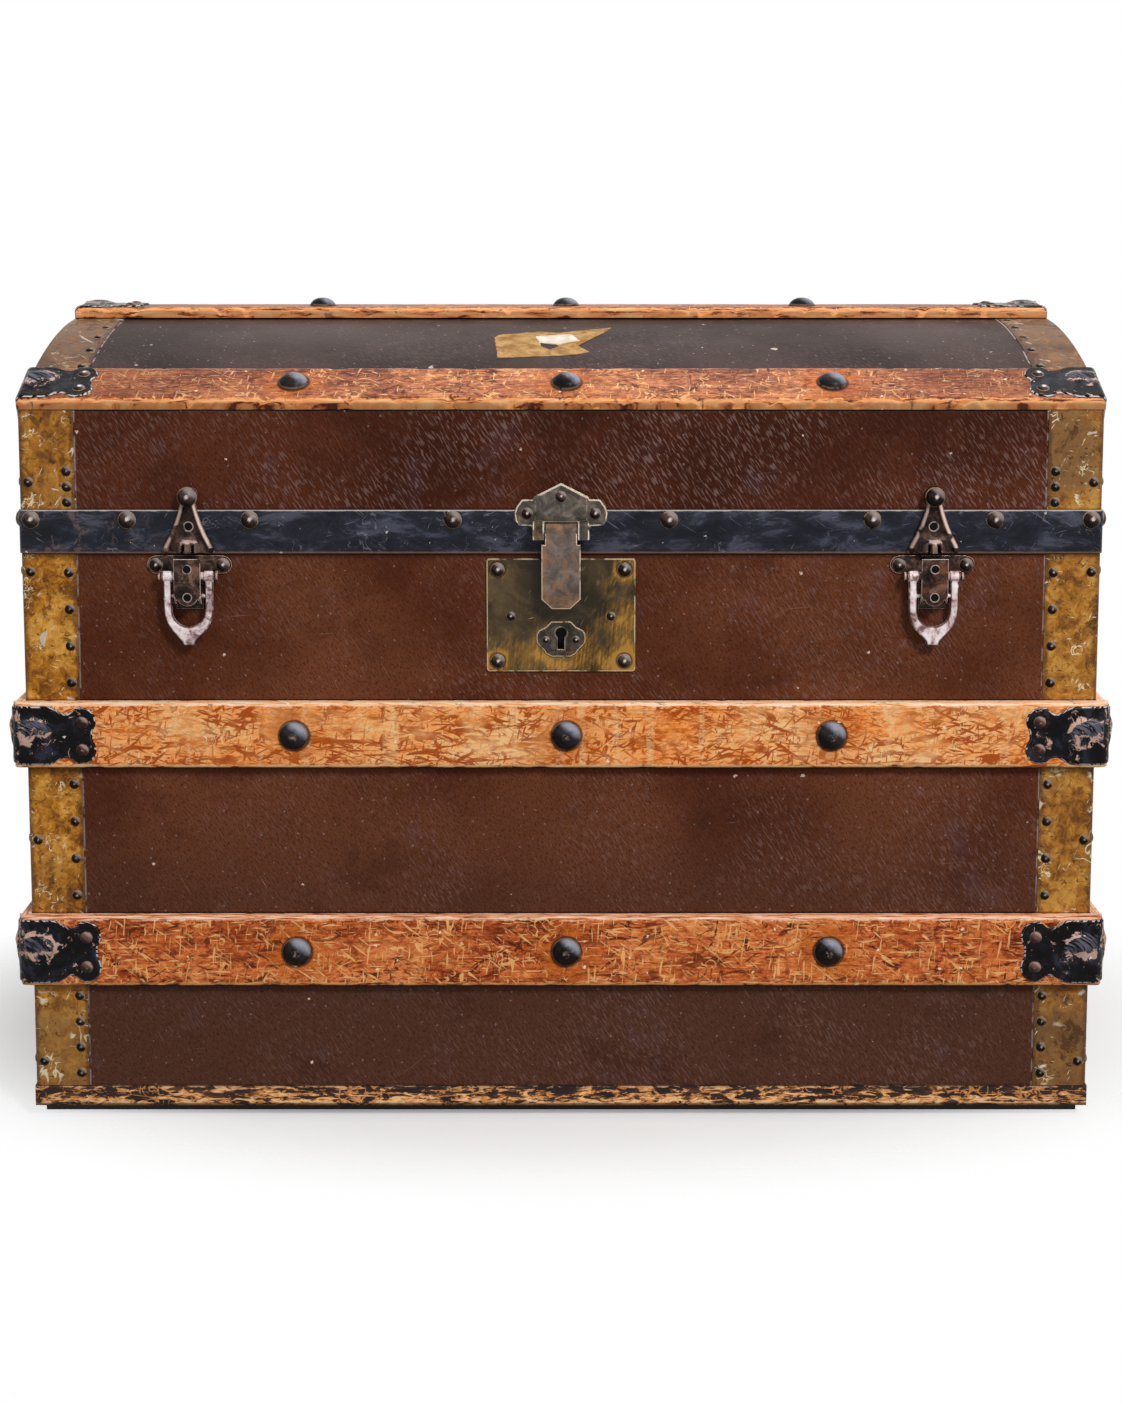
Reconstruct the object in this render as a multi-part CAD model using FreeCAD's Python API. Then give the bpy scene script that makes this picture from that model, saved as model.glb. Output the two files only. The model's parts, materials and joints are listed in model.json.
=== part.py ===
import FreeCAD, Part
import math
import os

from FreeCAD import Placement, Rotation, Vector

# Travel trunk with a domed lid. Lengths are in millimetres, +Z is up and the front faces -Y.
# The origin is on the ground, under the middle of the trunk.

# Shell, measured over the canvas
shell_width = 813.0
shell_depth = 470.0
shell_corner_radius = 3.0
canvas_thickness = 0.8
body_board_thickness = 10.0
lid_board_thickness = 9.0
seam_height = 443.2
seam_gap = 0.6
lid_wall_height = 108.5
dome_rise = 57.0
top_panel_thickness = 6.0

# Closing lip inside the mouth of the body
lip_thickness = 4.0
lip_rise = 9.0
lip_drop = 22.0
lip_back_clearance = 14.0

# Bottom
runner_height = 10.0
runner_width = 36.0
runner_front_inset = 14.0
runner_end_inset = 3.5
rail_height = 16.0
rail_width = 20.0
rail_overhang = 1.2
floor_thickness = 8.0

# Sheet-metal bands and belt
band_thickness = 0.7
band_width = 41.0
dome_band_drop = 35.0
belt_height = 33.0
belt_thickness = 1.2
belt_rivet_radius = 6.8
belt_rivet_height = 3.6
belt_rivet_drop = 7.4
front_belt_rivet_shares = (0.2, 0.576, 0.803, 0.981)
back_belt_rivet_shares = (0.2, 0.803, 0.981)
end_belt_rivet_shares = (0.3, 0.66, 0.965)

# Nails of the bands
nail_radius = 3.6
nail_height = 1.5
nail_inset = 5.8
outer_nail_inset = 6.5
nails_per_body_run = 4
nails_per_lid_run = 3
nails_per_dome_run = 5
body_outer_nail_shares = (0.24, 0.5, 0.88)
lid_outer_nail_share = 0.6

# Wooden slats and their studs
slat_thickness = 8.5
slat_edge_radius = 2.5
slat_corner_radius = 8.0
upper_slat_height = 50.5
lower_slat_height = 55.0
slat_to_lock_gap = 22.5
lower_slat_rise = 82.6
lid_slat_width = 51.0
crown_slat_width = 56.0
lid_slat_thickness = 9.0
lid_slat_edge_radius = 3.0
lid_slat_end_radius = 4.0
side_slat_share = 0.905
stud_radius = 11.25
stud_height = 6.6
stud_place_shares = (-0.498, 0.01, 0.504)
end_stud_place_shares = (-0.42, 0.42)

# Stamped clamps over the slat ends
clamp_thickness = 1.2
clamp_margin = 2.6
clamp_reach = 55.2
clamp_tab_drop = 15.0
clamp_lobe_spacing_share = 0.47
clamp_lobe_radius_share = 0.222
clamp_neck_share = 0.72
clamp_neck_radius = 14.0
clamp_neck_offset = 13.2
clamp_bump_share = 0.27
clamp_bump_height = 3.0
clamp_rivet_radius = 4.7
clamp_rivet_height = 1.9

# Lock
lock_plate_width = 112.6
lock_plate_height = 86.8
lock_plate_thickness = 1.5
lock_plate_corner = 5.0
lock_plate_drop = 3.4
lock_rivet_radius = 5.4
lock_rivet_height = 2.8
lock_rivet_inset = 8.4
small_rivet_radius = 3.5
small_rivet_height = 1.8
small_rivet_offset = 37.8
small_rivet_drop = 44.0
escutcheon_width = 37.2
escutcheon_height = 27.8
escutcheon_thickness = 1.0
escutcheon_drop = 61.8
escutcheon_top_share = 0.41
escutcheon_side_share = 0.24
escutcheon_rivet_radius = 2.8
escutcheon_rivet_offset = 11.4
keyhole_radius = 4.3
keyhole_slot_width = 5.2
keyhole_slot_length = 12.6
keyhole_rise = 4.8
staple_slot_width = 16.0
staple_slot_height = 9.0
staple_slot_drop = 26.0
lock_case_width = 64.0
lock_case_height = 66.0
lock_case_depth = 9.6
lock_case_wall = 1.2
lock_case_drop = 10.0
lock_bolt_length = 32.0
lock_bolt_height = 7.0
lock_bolt_thickness = 4.0
lock_bolt_travel = 6.0
lock_guide_height = 3.0
slide_clearance = 0.3

# Hasp
hasp_thickness = 1.5
hasp_barrel_radius = 5.5
hasp_axis_rise = 18.6
hasp_pin_radius = 2.0
hasp_peak_rise = 35.9
hasp_shoulder_drop = 10.4
hasp_shoulder_half_width = 20.3
hasp_ear_offset = 25.6
hasp_ear_radius = 9.4
hasp_ear_rise = 12.6
hasp_ear_top_rise = 22.6
hasp_rivet_radius = 4.4
hasp_rivet_height = 2.4
hasp_knuckle_length = 8.8
tongue_barrel_length = 24.0
tongue_width = 29.4
tongue_thickness = 3.0
tongue_length = 58.6
tongue_shoulder_drop = 9.8
tongue_tip_width = 13.6
tongue_tip_height = 7.3
staple_width = 12.0
staple_height = 5.0
staple_wall = 1.6
staple_plate_gap = 0.5
hasp_back_gap = 0.5

# Draw latches
latch_place_share = 0.689
latch_plate_thickness = 1.5
latch_axle_drop = 15.7
latch_axle_depth = 8.0
latch_axle_radius = 2.0
latch_axle_head_radius = 3.0
latch_axle_head_length = 1.0
latch_lug_thickness = 2.0
latch_lug_gap = 0.5
latch_ear_offset = 25.2
latch_ear_radius = 6.6
latch_ear_rise = 7.6
latch_ear_rivet_radius = 5.2
latch_stem_width = 20.0
latch_stem_drop = 26.0
latch_plate_seam_gap = 1.2
lever_width = 37.4
lever_stock = 6.4
lever_thickness = 4.4
lever_hub_radius = 4.0
lever_shoulder_drop = 24.0
lever_waist_drop = 36.0
lever_waist_width = 32.4
lever_neck_drop = 46.6
lever_neck_width = 16.0
lever_eye_drop = 38.5
lever_tip_drop = 53.2
lever_tip_width = 8.6
lever_pin_drop = 15.0
lever_pin_radius = 1.5
strap_width = 20.0
strap_thickness = 1.5
strap_rise = 13.8
strap_drop = 21.9
strap_flange_height = 12.0
strap_flange_depth = 8.4
strap_hole_radius = 2.6
strap_hole_rise = 6.4
strap_hub_gap = 0.6
catch_width = 38.4
catch_top_width = 13.0
catch_height = 43.0
catch_rib_width = 3.4
catch_rib_height = 3.6
catch_seam_rise = 1.2
catch_hood_radius = 8.8
catch_hood_rise = 2.4
catch_hood_slit = 1.8
catch_hood_slit_offset = 4.0
catch_hole_radius = 3.0
catch_hole_rise = 19.0
ball_radius = 7.5
ball_height = 6.6

# Back hinges
hinge_place_share = 0.689
hinge_width = 60.0
hinge_leaf_height = 26.0
hinge_leaf_thickness = 1.5
hinge_barrel_radius = 3.6
hinge_pin_radius = 1.6
hinge_knuckle_gap = 0.3
hinge_middle_share = 0.4
hinge_leaf_gap = 1.4
hinge_rivet_radius = 3.4
hinge_rivet_height = 1.4
hinge_rivet_share = 0.36

# End handles
handle_span = 170.0
handle_drop = 43.0
handle_pivot_depth = 9.0
handle_pin_radius = 2.5
handle_eye_radius = 6.0
handle_eye_length = 24.0
handle_thickness = 8.0
handle_height = 46.0
handle_strap_width = 22.0
handle_corner_radius = 18.0
handle_grip_radius = 8.0
handle_grip_share = 0.62
bracket_thickness = 1.5
bracket_width = 46.0
bracket_height = 30.0
bracket_lug_thickness = 2.0
bracket_lug_gap = 0.5
bracket_rivet_radius = 2.8
bracket_rivet_height = 1.4

# General fits
running_clearance = 0.06
cut_overrun = 5.0

# Places that follow from the sizes above
half_width = shell_width / 2
half_depth = shell_depth / 2
rail_top = runner_height + rail_height
lid_bottom = seam_height + seam_gap
wall_top = seam_height + lid_wall_height
dome_radius = (half_depth ** 2 + dome_rise ** 2) / (2 * dome_rise)
dome_centre = wall_top + dome_rise - dome_radius
belt_top = lid_bottom + belt_height
lock_plate_top = seam_height - lock_plate_drop
upper_slat_bottom = lock_plate_top - lock_plate_height - slat_to_lock_gap - upper_slat_height
lower_slat_bottom = rail_top + lower_slat_rise
slat_levels = ((upper_slat_bottom, upper_slat_height), (lower_slat_bottom, lower_slat_height))
belt_face = band_thickness + belt_thickness
latch_offset = half_width * latch_place_share
latch_axle_height = seam_height - latch_axle_drop
hinge_offset = half_width * hinge_place_share
hinge_axis_depth = belt_face + hinge_leaf_thickness + hinge_barrel_radius
handle_axis_height = seam_height - handle_drop
side_slat_place = half_depth * side_slat_share
lid_slats = (
    (-side_slat_place, lid_slat_width),
    (0, crown_slat_width),
    (side_slat_place, lid_slat_width),
)
face_turns = {"front": 0, "right": 90, "back": 180, "left": 270}
X_AXIS = Vector(1, 0, 0)
Y_AXIS = Vector(0, 1, 0)
Z_AXIS = Vector(0, 0, 1)
ORIGIN = Vector(0, 0, 0)


# Helpers: each local shape has x to the right, y up and z out of the face that carries it


def moved(shape, placement):
    """Copy of a shape at a placement."""
    result = shape.copy()
    result.Placement = placement.multiply(result.Placement)
    return result


def shifted(shape, x, y, z):
    """Copy of a shape moved along the axes."""
    return moved(shape, Placement(Vector(x, y, z), Rotation()))


def on_face(shape, side, along, height, depth):
    """Stand a local shape on one of the four walls, depth outside the canvas."""
    reach = half_depth if side in ("front", "back") else half_width
    upright = Placement(Vector(along, -reach - depth, height), Rotation(X_AXIS, 90))
    return moved(shape, Placement(ORIGIN, Rotation(Z_AXIS, face_turns[side])).multiply(upright))


def on_dome(shape, x, place, lift):
    """Lay a local shape on the dome, where its circle crosses y = place, lift above the canvas."""
    angle = math.asin(place / dome_radius)
    radius = dome_radius + lift
    spot = Vector(x, radius * math.sin(angle), dome_centre + radius * math.cos(angle))
    return moved(shape, Placement(spot, Rotation(X_AXIS, -math.degrees(angle))))


def mirror_x(shape):
    """Mirror image across the middle of the width."""
    return shape.mirror(ORIGIN, X_AXIS)


def mirror_y(shape):
    """Mirror image across the middle of the depth."""
    return shape.mirror(ORIGIN, Y_AXIS)


def four_corners(shape):
    """A shape of one corner and its mirror images at the other three."""
    pair = [shape, mirror_x(shape)]
    return pair + [mirror_y(one) for one in pair]


def outline_face(points):
    """Flat face on a closed outline of (x, y) corners."""
    corners = [Vector(x, y, 0) for x, y in points]
    return Part.Face(Part.makePolygon(corners + corners[:1]))


def plate(points, thickness):
    """Plate of an outline, from z = 0 up to its thickness."""
    return outline_face(points).extrude(Vector(0, 0, thickness))


def centred_box(width, height, thickness, x=0, y=0, z=0):
    """Box centred on x and y that starts at z."""
    return Part.makeBox(width, height, thickness, Vector(x - width / 2, y - height / 2, z))


def disc(radius, thickness, x=0, y=0, z=0):
    """Round plate about a local z axis."""
    return Part.makeCylinder(radius, thickness, Vector(x, y, z))


def rod_x(radius, length, y, z, x=0):
    """Rod along x, centred on x."""
    return Part.makeCylinder(radius, length, Vector(x - length / 2, y, z), X_AXIS)


def rounded_plan(width, depth, radius, low, high):
    """Upright prism with a rectangular plan and round corners, about the z axis."""
    box = centred_box(width, depth, high - low, 0, 0, low)
    upright = [edge for edge in box.Edges if abs(edge.tangentAt(edge.FirstParameter).z) > 1 / 2]
    return box.makeFillet(radius, upright)


def ring(width, depth, radius, thickness, low, high):
    """Four walls of one thickness, outside a plan of the given size."""
    outer = rounded_plan(width + 2 * thickness, depth + 2 * thickness, radius + thickness, low, high)
    return outer.cut(rounded_plan(width, depth, radius, low - cut_overrun, high + cut_overrun))


def bar(length, width, thickness, radius):
    """Bar along x on the z = 0 plane, with its two upper long edges rounded."""
    half = width / 2
    inner = half - radius
    low = thickness - radius
    bend = radius * math.sqrt(1 / 2)

    def spot(y, z):
        return Vector(-length / 2, y, z)

    edges = [
        Part.LineSegment(spot(-half, 0), spot(half, 0)),
        Part.LineSegment(spot(half, 0), spot(half, low)),
        Part.Arc(spot(half, low), spot(inner + bend, low + bend), spot(inner, thickness)),
        Part.LineSegment(spot(inner, thickness), spot(-inner, thickness)),
        Part.Arc(spot(-inner, thickness), spot(-inner - bend, low + bend), spot(-half, low)),
        Part.LineSegment(spot(-half, low), spot(-half, 0)),
    ]
    return Part.Face(Part.Wire([edge.toShape() for edge in edges])).extrude(Vector(length, 0, 0))


def cap(radius, height):
    """Domed rivet head on the z = 0 plane."""
    ball = (radius ** 2 + height ** 2) / (2 * height)
    middle = math.asin(radius / ball) / 2
    rim, top = Vector(radius, 0, 0), Vector(0, 0, height)
    between = Vector(ball * math.sin(middle), 0, height - ball + ball * math.cos(middle))
    edges = [Part.LineSegment(ORIGIN, rim), Part.Arc(rim, between, top), Part.LineSegment(top, ORIGIN)]
    wire = Part.Wire([edge.toShape() for edge in edges])
    return Part.Face(wire).revolve(ORIGIN, Z_AXIS, 360)


def dome(radius):
    """Full cylinder across the trunk whose top is the dome of the given radius."""
    length = 2 * shell_width
    return Part.makeCylinder(radius, length, Vector(-length / 2, 0, dome_centre), X_AXIS)


def lid_block(offset, drop):
    """Solid lid: its plan offset outwards, its dome lowered by drop."""
    width, depth = shell_width + 2 * offset, shell_depth + 2 * offset
    high = wall_top + 2 * dome_rise
    plan = rounded_plan(width, depth, shell_corner_radius + offset, lid_bottom, high)
    return plan.common(dome(dome_radius - drop))


def shell_boards(inset, thickness, low, high):
    """Front, back, left and right boards whose outer faces lie inset inside the canvas."""
    x, y = half_width - inset, half_depth - inset
    tall = high - low
    front = Part.makeBox(2 * x, thickness, tall, Vector(-x, -y, low))
    back = Part.makeBox(2 * x, thickness, tall, Vector(-x, y - thickness, low))
    end_depth = 2 * (y - thickness)
    left = Part.makeBox(thickness, end_depth, tall, Vector(-x, -end_depth / 2, low))
    right = Part.makeBox(thickness, end_depth, tall, Vector(x - thickness, -end_depth / 2, low))
    return front, back, left, right


# Boards and coverings


def lock_pocket():
    """Space in the front wall that the lock case fills."""
    pocket = centred_box(lock_case_width, lock_case_height, lock_case_depth + cut_overrun, 0, 0, 0)
    height = lock_plate_top - lock_case_drop - lock_case_height / 2
    return on_face(pocket, "front", 0, height, -lock_case_depth)


def body_boards():
    """Floor, walls and closing lip of the body."""
    plan = rounded_plan(
        shell_width - 2 * canvas_thickness, shell_depth - 2 * canvas_thickness,
        shell_corner_radius - canvas_thickness, rail_top, seam_height)
    walls = shell_boards(canvas_thickness, body_board_thickness, rail_top, seam_height)
    front, back, left, right = [wall.common(plan) for wall in walls]
    rail_inside = rail_overhang - rail_width
    floor = centred_box(
        shell_width + 2 * rail_inside, shell_depth + 2 * rail_inside, floor_thickness, 0, 0, runner_height)
    inset = canvas_thickness + body_board_thickness
    low = seam_height - lip_drop
    lips = shell_boards(inset, lip_thickness, low, seam_height + lip_rise)
    back_trim = centred_box(
        shell_width, half_depth, shell_depth, 0, half_depth - inset - lip_back_clearance + half_depth / 2, low)
    lip = [lips[0], lips[2].cut(back_trim), lips[3].cut(back_trim)]
    return {
        "floor_board": floor,
        "front_board": front.cut(lock_pocket()),
        "back_board": back,
        "left_end_board": left,
        "right_end_board": right,
        "closing_lip": lip,
    }


def body_canvas():
    """Canvas over the four walls of the body."""
    width, depth = shell_width - 2 * canvas_thickness, shell_depth - 2 * canvas_thickness
    radius = shell_corner_radius - canvas_thickness
    return ring(width, depth, radius, canvas_thickness, rail_top, seam_height).cut(lock_pocket())


def base_rail():
    """Four mitred rails round the bottom edge."""
    x, y = half_width + rail_overhang, half_depth + rail_overhang
    front = plate(
        [(-x, -y), (x, -y), (x - rail_width, rail_width - y), (rail_width - x, rail_width - y)], rail_height)
    right = plate(
        [(x, -y), (x, y), (x - rail_width, y - rail_width), (x - rail_width, rail_width - y)], rail_height)
    rails = [front, mirror_y(front), right, mirror_x(right)]
    return [shifted(rail, 0, 0, runner_height) for rail in rails]


def bottom_runners():
    """Three runners under the floor, the middle one across the origin."""
    length = shell_width - 2 * runner_end_inset
    place = half_depth - runner_front_inset - runner_width / 2
    runner = centred_box(length, runner_width, runner_height)
    return [shifted(runner, 0, y, 0) for y in (-place, 0, place)]


def lid_boards():
    """Walls, curved panel and canvas of the lid."""
    under_panel = canvas_thickness + top_panel_thickness
    inner = lid_block(-canvas_thickness, under_panel)
    walls = shell_boards(canvas_thickness, lid_board_thickness, lid_bottom, wall_top + dome_rise)
    front, back, left, right = [wall.common(inner) for wall in walls]
    under_canvas = lid_block(-canvas_thickness, canvas_thickness)
    whole = lid_block(0, 0)
    sides = lid_block(0, canvas_thickness)
    return {
        "lid_front_board": front,
        "lid_back_board": back,
        "lid_left_board": left,
        "lid_right_board": right,
        "lid_top_panel": under_canvas.cut(dome(dome_radius - under_panel)),
        "lid_side_canvas": sides.cut(under_canvas),
        "lid_top_canvas": whole.cut(dome(dome_radius - canvas_thickness)),
    }


# Bands and belt


def body_corner_bands():
    """Folded angle up each corner of the body."""
    skin = ring(shell_width, shell_depth, shell_corner_radius, band_thickness, rail_top, seam_height)
    reach = band_width + band_thickness
    corner = Part.makeBox(
        reach, reach, seam_height,
        Vector(half_width - band_width, -half_depth - band_thickness, 0))
    return four_corners(skin.common(corner))


def lid_bands():
    """Folded angles up the lid's corners, and the bands over its two ends."""
    skin = lid_block(band_thickness, -band_thickness).cut(lid_block(0, 0))
    inside = half_width - band_width
    reach = band_width + band_thickness
    leg = shell_corner_radius
    front_leg = Part.makeBox(
        reach, leg + band_thickness, wall_top - lid_bottom,
        Vector(inside, -half_depth - band_thickness, lid_bottom))
    end_leg = Part.makeBox(
        leg + band_thickness, reach, wall_top - lid_bottom,
        Vector(half_width - leg, -half_depth - band_thickness, lid_bottom))
    end_leg = end_leg.common(dome(dome_radius - dome_band_drop))
    legs = skin.common(front_leg.fuse(end_leg))
    end = Part.makeBox(
        reach, 2 * shell_depth, 2 * dome_rise + lid_wall_height,
        Vector(inside, -shell_depth, lid_bottom))
    over = skin.common(end).cut(dome(dome_radius - dome_band_drop))
    over = over.cut(front_leg).cut(mirror_y(front_leg))
    return {"lid_corner_bands": four_corners(legs), "lid_dome_bands": [over, mirror_x(over)]}


def lid_belt():
    """Steel belt round the lower edge of the lid."""
    grown = 2 * band_thickness
    radius = shell_corner_radius + band_thickness
    return ring(shell_width + grown, shell_depth + grown, radius, belt_thickness, lid_bottom, belt_top)


def belt_rivets():
    """Big domed rivets along the belt."""
    head = cap(belt_rivet_radius, belt_rivet_height)
    height = belt_top - belt_rivet_drop
    rows = (
        ("front", half_width, front_belt_rivet_shares),
        ("back", half_width, back_belt_rivet_shares),
        ("left", half_depth, end_belt_rivet_shares),
        ("right", half_depth, end_belt_rivet_shares),
    )
    return [
        on_face(head, side, sign * share * reach, height, belt_face)
        for side, reach, shares in rows for share in shares for sign in (-1, 1)
    ]


def nail_runs(low, high, count, outer_share):
    """Nails of one stretch of a corner's two legs, on all four corners."""
    head = cap(nail_radius, nail_height)
    nails = []
    for side, reach in (("front", half_width), ("back", half_width), ("left", half_depth), ("right", half_depth)):
        inner = reach - band_width + nail_inset
        outer = reach - outer_nail_inset
        for sign in (-1, 1):
            for index in range(count):
                height = low + (index + 1 / 2) / count * (high - low)
                nails.append(on_face(head, side, sign * inner, height, band_thickness))
            height = low + outer_share * (high - low)
            nails.append(on_face(head, side, sign * outer, height, band_thickness))
    return nails


def body_band_nails():
    """Nails of the body's corner bands, between the slats."""
    upper_top = upper_slat_bottom + upper_slat_height
    lower_top = lower_slat_bottom + lower_slat_height
    runs = ((rail_top, lower_slat_bottom), (lower_top, upper_slat_bottom), (upper_top, seam_height))
    nails = []
    for (low, high), share in zip(runs, body_outer_nail_shares):
        nails += nail_runs(low, high, nails_per_body_run, share)
    return nails


def lid_band_nails():
    """Nails of the lid's corner bands and of the bands over its ends."""
    end_top = dome_centre + math.sqrt((dome_radius - dome_band_drop) ** 2 - half_depth ** 2)
    nails = nail_runs(belt_top, min(wall_top, end_top), nails_per_lid_run, lid_outer_nail_share)
    head = cap(nail_radius, nail_height)
    along = half_width - band_width + nail_inset
    gap_low = crown_slat_width / 2
    gap_high = side_slat_place - lid_slat_width / 2
    for index in range(nails_per_dome_run):
        place = gap_low + (index + 1 / 2) / nails_per_dome_run * (gap_high - gap_low)
        angle = math.asin(place / dome_radius)
        low_radius = dome_radius - dome_band_drop + nail_inset
        drop_place = low_radius * math.sin(angle)
        height = dome_centre + low_radius * math.cos(angle)
        for sign in (-1, 1):
            nails += [on_dome(head, x, sign * place, band_thickness) for x in (-along, along)]
            nails += [
                on_face(head, side, sign * drop_place, height, band_thickness) for side in ("left", "right")]
    return nails


# Slats, studs and clamps


def wall_slat(length, height, end_radius):
    """Slat of a wall, from y = 0 up to its height, with its upper edges and ends rounded."""
    slat = bar(length, height, slat_thickness, slat_edge_radius)
    if end_radius:
        turned = moved(
            bar(height, length, slat_thickness, end_radius), Placement(ORIGIN, Rotation(Z_AXIS, 90)))
        slat = slat.common(turned)
    return shifted(slat, 0, height / 2, 0)


def body_slats():
    """Upper and lower slats of the four walls: the long ones round the corners."""
    long_length = shell_width + 2 * (band_thickness + slat_thickness)
    short_length = shell_depth + 2 * band_thickness
    slats = {"left_end_slats": [], "right_end_slats": []}
    for name, (low, height) in zip(("upper", "lower"), slat_levels):
        long_slat = wall_slat(long_length, height, slat_corner_radius)
        short_slat = wall_slat(short_length, height, 0)
        for side in ("front", "back"):
            slats[f"{side}_{name}_slat"] = on_face(long_slat, side, 0, low, band_thickness)
        for side in ("left", "right"):
            slats[f"{side}_end_slats"].append(on_face(short_slat, side, 0, low, band_thickness))
    return slats


def lid_slats_on_dome():
    """Three slats along the dome."""
    length = shell_width + 2 * band_thickness
    slats = []
    for place, width in lid_slats:
        along = bar(length, width, lid_slat_thickness, lid_slat_edge_radius)
        across = moved(
            bar(width, length, lid_slat_thickness, lid_slat_end_radius), Placement(ORIGIN, Rotation(Z_AXIS, 90)))
        slats.append(on_dome(along.common(across), 0, place, band_thickness))
    return dict(zip(("lid_front_slat", "lid_crown_slat", "lid_back_slat"), slats))


def slat_studs():
    """Big domed studs along every slat."""
    head = cap(stud_radius, stud_height)
    depth = band_thickness + slat_thickness
    body = []
    for low, height in slat_levels:
        middle = low + height / 2
        for side in ("front", "back"):
            body += [on_face(head, side, share * half_width, middle, depth) for share in stud_place_shares]
        for side in ("left", "right"):
            body += [on_face(head, side, share * half_depth, middle, depth) for share in end_stud_place_shares]
    lift = band_thickness + lid_slat_thickness
    lid = [
        on_dome(head, share * half_width, place, lift)
        for place, width in lid_slats for share in stud_place_shares
    ]
    return {"body_slat_studs": body, "lid_slat_studs": lid}


def clamp_leg(height, overrun):
    """Riveted leg of a clamp, from its lobes at u < 0 to overrun past the band's face at u = 0."""
    half = height / 2
    lobe_radius = height * clamp_lobe_radius_share
    lobe_place = height * clamp_lobe_spacing_share / 2
    lobe_u = lobe_radius - clamp_reach
    neck_u = lobe_u + clamp_neck_offset
    shoulder = Part.makeBox(overrun - neck_u, height, clamp_thickness, Vector(neck_u, -half, 0))
    root_half = lobe_place + lobe_radius
    root = Part.makeBox(neck_u - lobe_u, 2 * root_half, clamp_thickness, Vector(lobe_u, -root_half, 0))
    lobes = [disc(lobe_radius, clamp_thickness, lobe_u, sign * lobe_place) for sign in (-1, 1)]
    neck_v = half * clamp_neck_share + clamp_neck_radius
    necks = [
        disc(clamp_neck_radius, clamp_thickness + 2 * cut_overrun, neck_u, sign * neck_v, -cut_overrun)
        for sign in (-1, 1)
    ]
    bump = shifted(
        cap(height * clamp_bump_share, clamp_bump_height), overrun - height * clamp_bump_share, 0, clamp_thickness)
    return shoulder.fuse([root] + lobes).cut(Part.makeCompound(necks)).fuse(bump).removeSplitter()


def clamp_rivet_places(height):
    """Local centres of the two rivets of a clamp's leg."""
    lobe_u = height * clamp_lobe_radius_share - clamp_reach
    return [(lobe_u, sign * height * clamp_lobe_spacing_share / 2) for sign in (-1, 1)]


def bend(radius, height, x, z):
    """Quarter-round bend about a local y axis at (x, z), from +z round to +x."""
    quarter = Part.makeCylinder(radius + clamp_thickness, height, ORIGIN, Z_AXIS, 90)
    quarter = quarter.cut(Part.makeCylinder(radius, height + cut_overrun, ORIGIN))
    turn = Placement(Vector(x, height / 2, z), Rotation(X_AXIS, 90))
    return moved(quarter, turn)


def corner_clamps():
    """Clamps round the body's four corners, at both slat levels, with their rivets."""
    corner = half_width + band_thickness
    depth = band_thickness + slat_thickness
    straight = slat_thickness - slat_corner_radius
    diagonal = Vector(corner, -half_depth - band_thickness, 0)
    head = cap(clamp_rivet_radius, clamp_rivet_height)
    clamps, rivets = [], []
    for low, slat_height in slat_levels:
        height = slat_height - 2 * clamp_margin
        middle = low + slat_height / 2
        leg = on_face(clamp_leg(height, straight), "front", corner, middle, depth)
        round_part = bend(slat_corner_radius, height, straight, -slat_corner_radius)
        round_part = on_face(round_part, "front", corner, middle, depth)
        other = leg.mirror(diagonal, Vector(1, 1, 0))
        clamps += four_corners(leg.fuse([round_part, other]).removeSplitter())
        for u, v in clamp_rivet_places(height):
            one = on_face(head, "front", corner + u, middle + v, depth + clamp_thickness)
            rivets += four_corners(one) + four_corners(one.mirror(diagonal, Vector(1, 1, 0)))
    return {"body_corner_clamps": clamps, "body_clamp_rivets": rivets}


def lid_clamps():
    """Clamps over the ends of the lid's slats, with their rivets."""
    corner = half_width + band_thickness
    lift = band_thickness + lid_slat_thickness
    tab_length = lid_slat_thickness - lid_slat_end_radius + clamp_tab_drop
    head = cap(clamp_rivet_radius, clamp_rivet_height)
    clamps, rivets = [], []
    for place, width in lid_slats:
        height = width - 2 * clamp_margin
        leg = clamp_leg(height, -lid_slat_end_radius)
        round_part = bend(lid_slat_end_radius, height, -lid_slat_end_radius, -lid_slat_end_radius)
        tab = centred_box(
            clamp_thickness, height, tab_length, clamp_thickness / 2, 0, -lid_slat_end_radius - tab_length)
        whole = leg.fuse([round_part, tab]).removeSplitter()
        placed = on_dome(whole, corner, place, lift)
        clamps += [placed, mirror_x(placed)]
        for u, v in clamp_rivet_places(height):
            spot = shifted(head, u, v, clamp_thickness)
            one = on_dome(spot, corner, place, lift)
            rivets += [one, mirror_x(one)]
    return clamps, rivets


# Lock


def keyhole(thickness):
    """Cutter of the keyhole about the middle of the escutcheon."""
    slot = Part.makeBox(
        keyhole_slot_width, keyhole_slot_length, thickness,
        Vector(-keyhole_slot_width / 2, keyhole_rise - keyhole_slot_length, 0))
    cutter = disc(keyhole_radius, thickness, 0, keyhole_rise).fuse(slot)
    return shifted(cutter, 0, 0, -thickness / 2)


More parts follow.
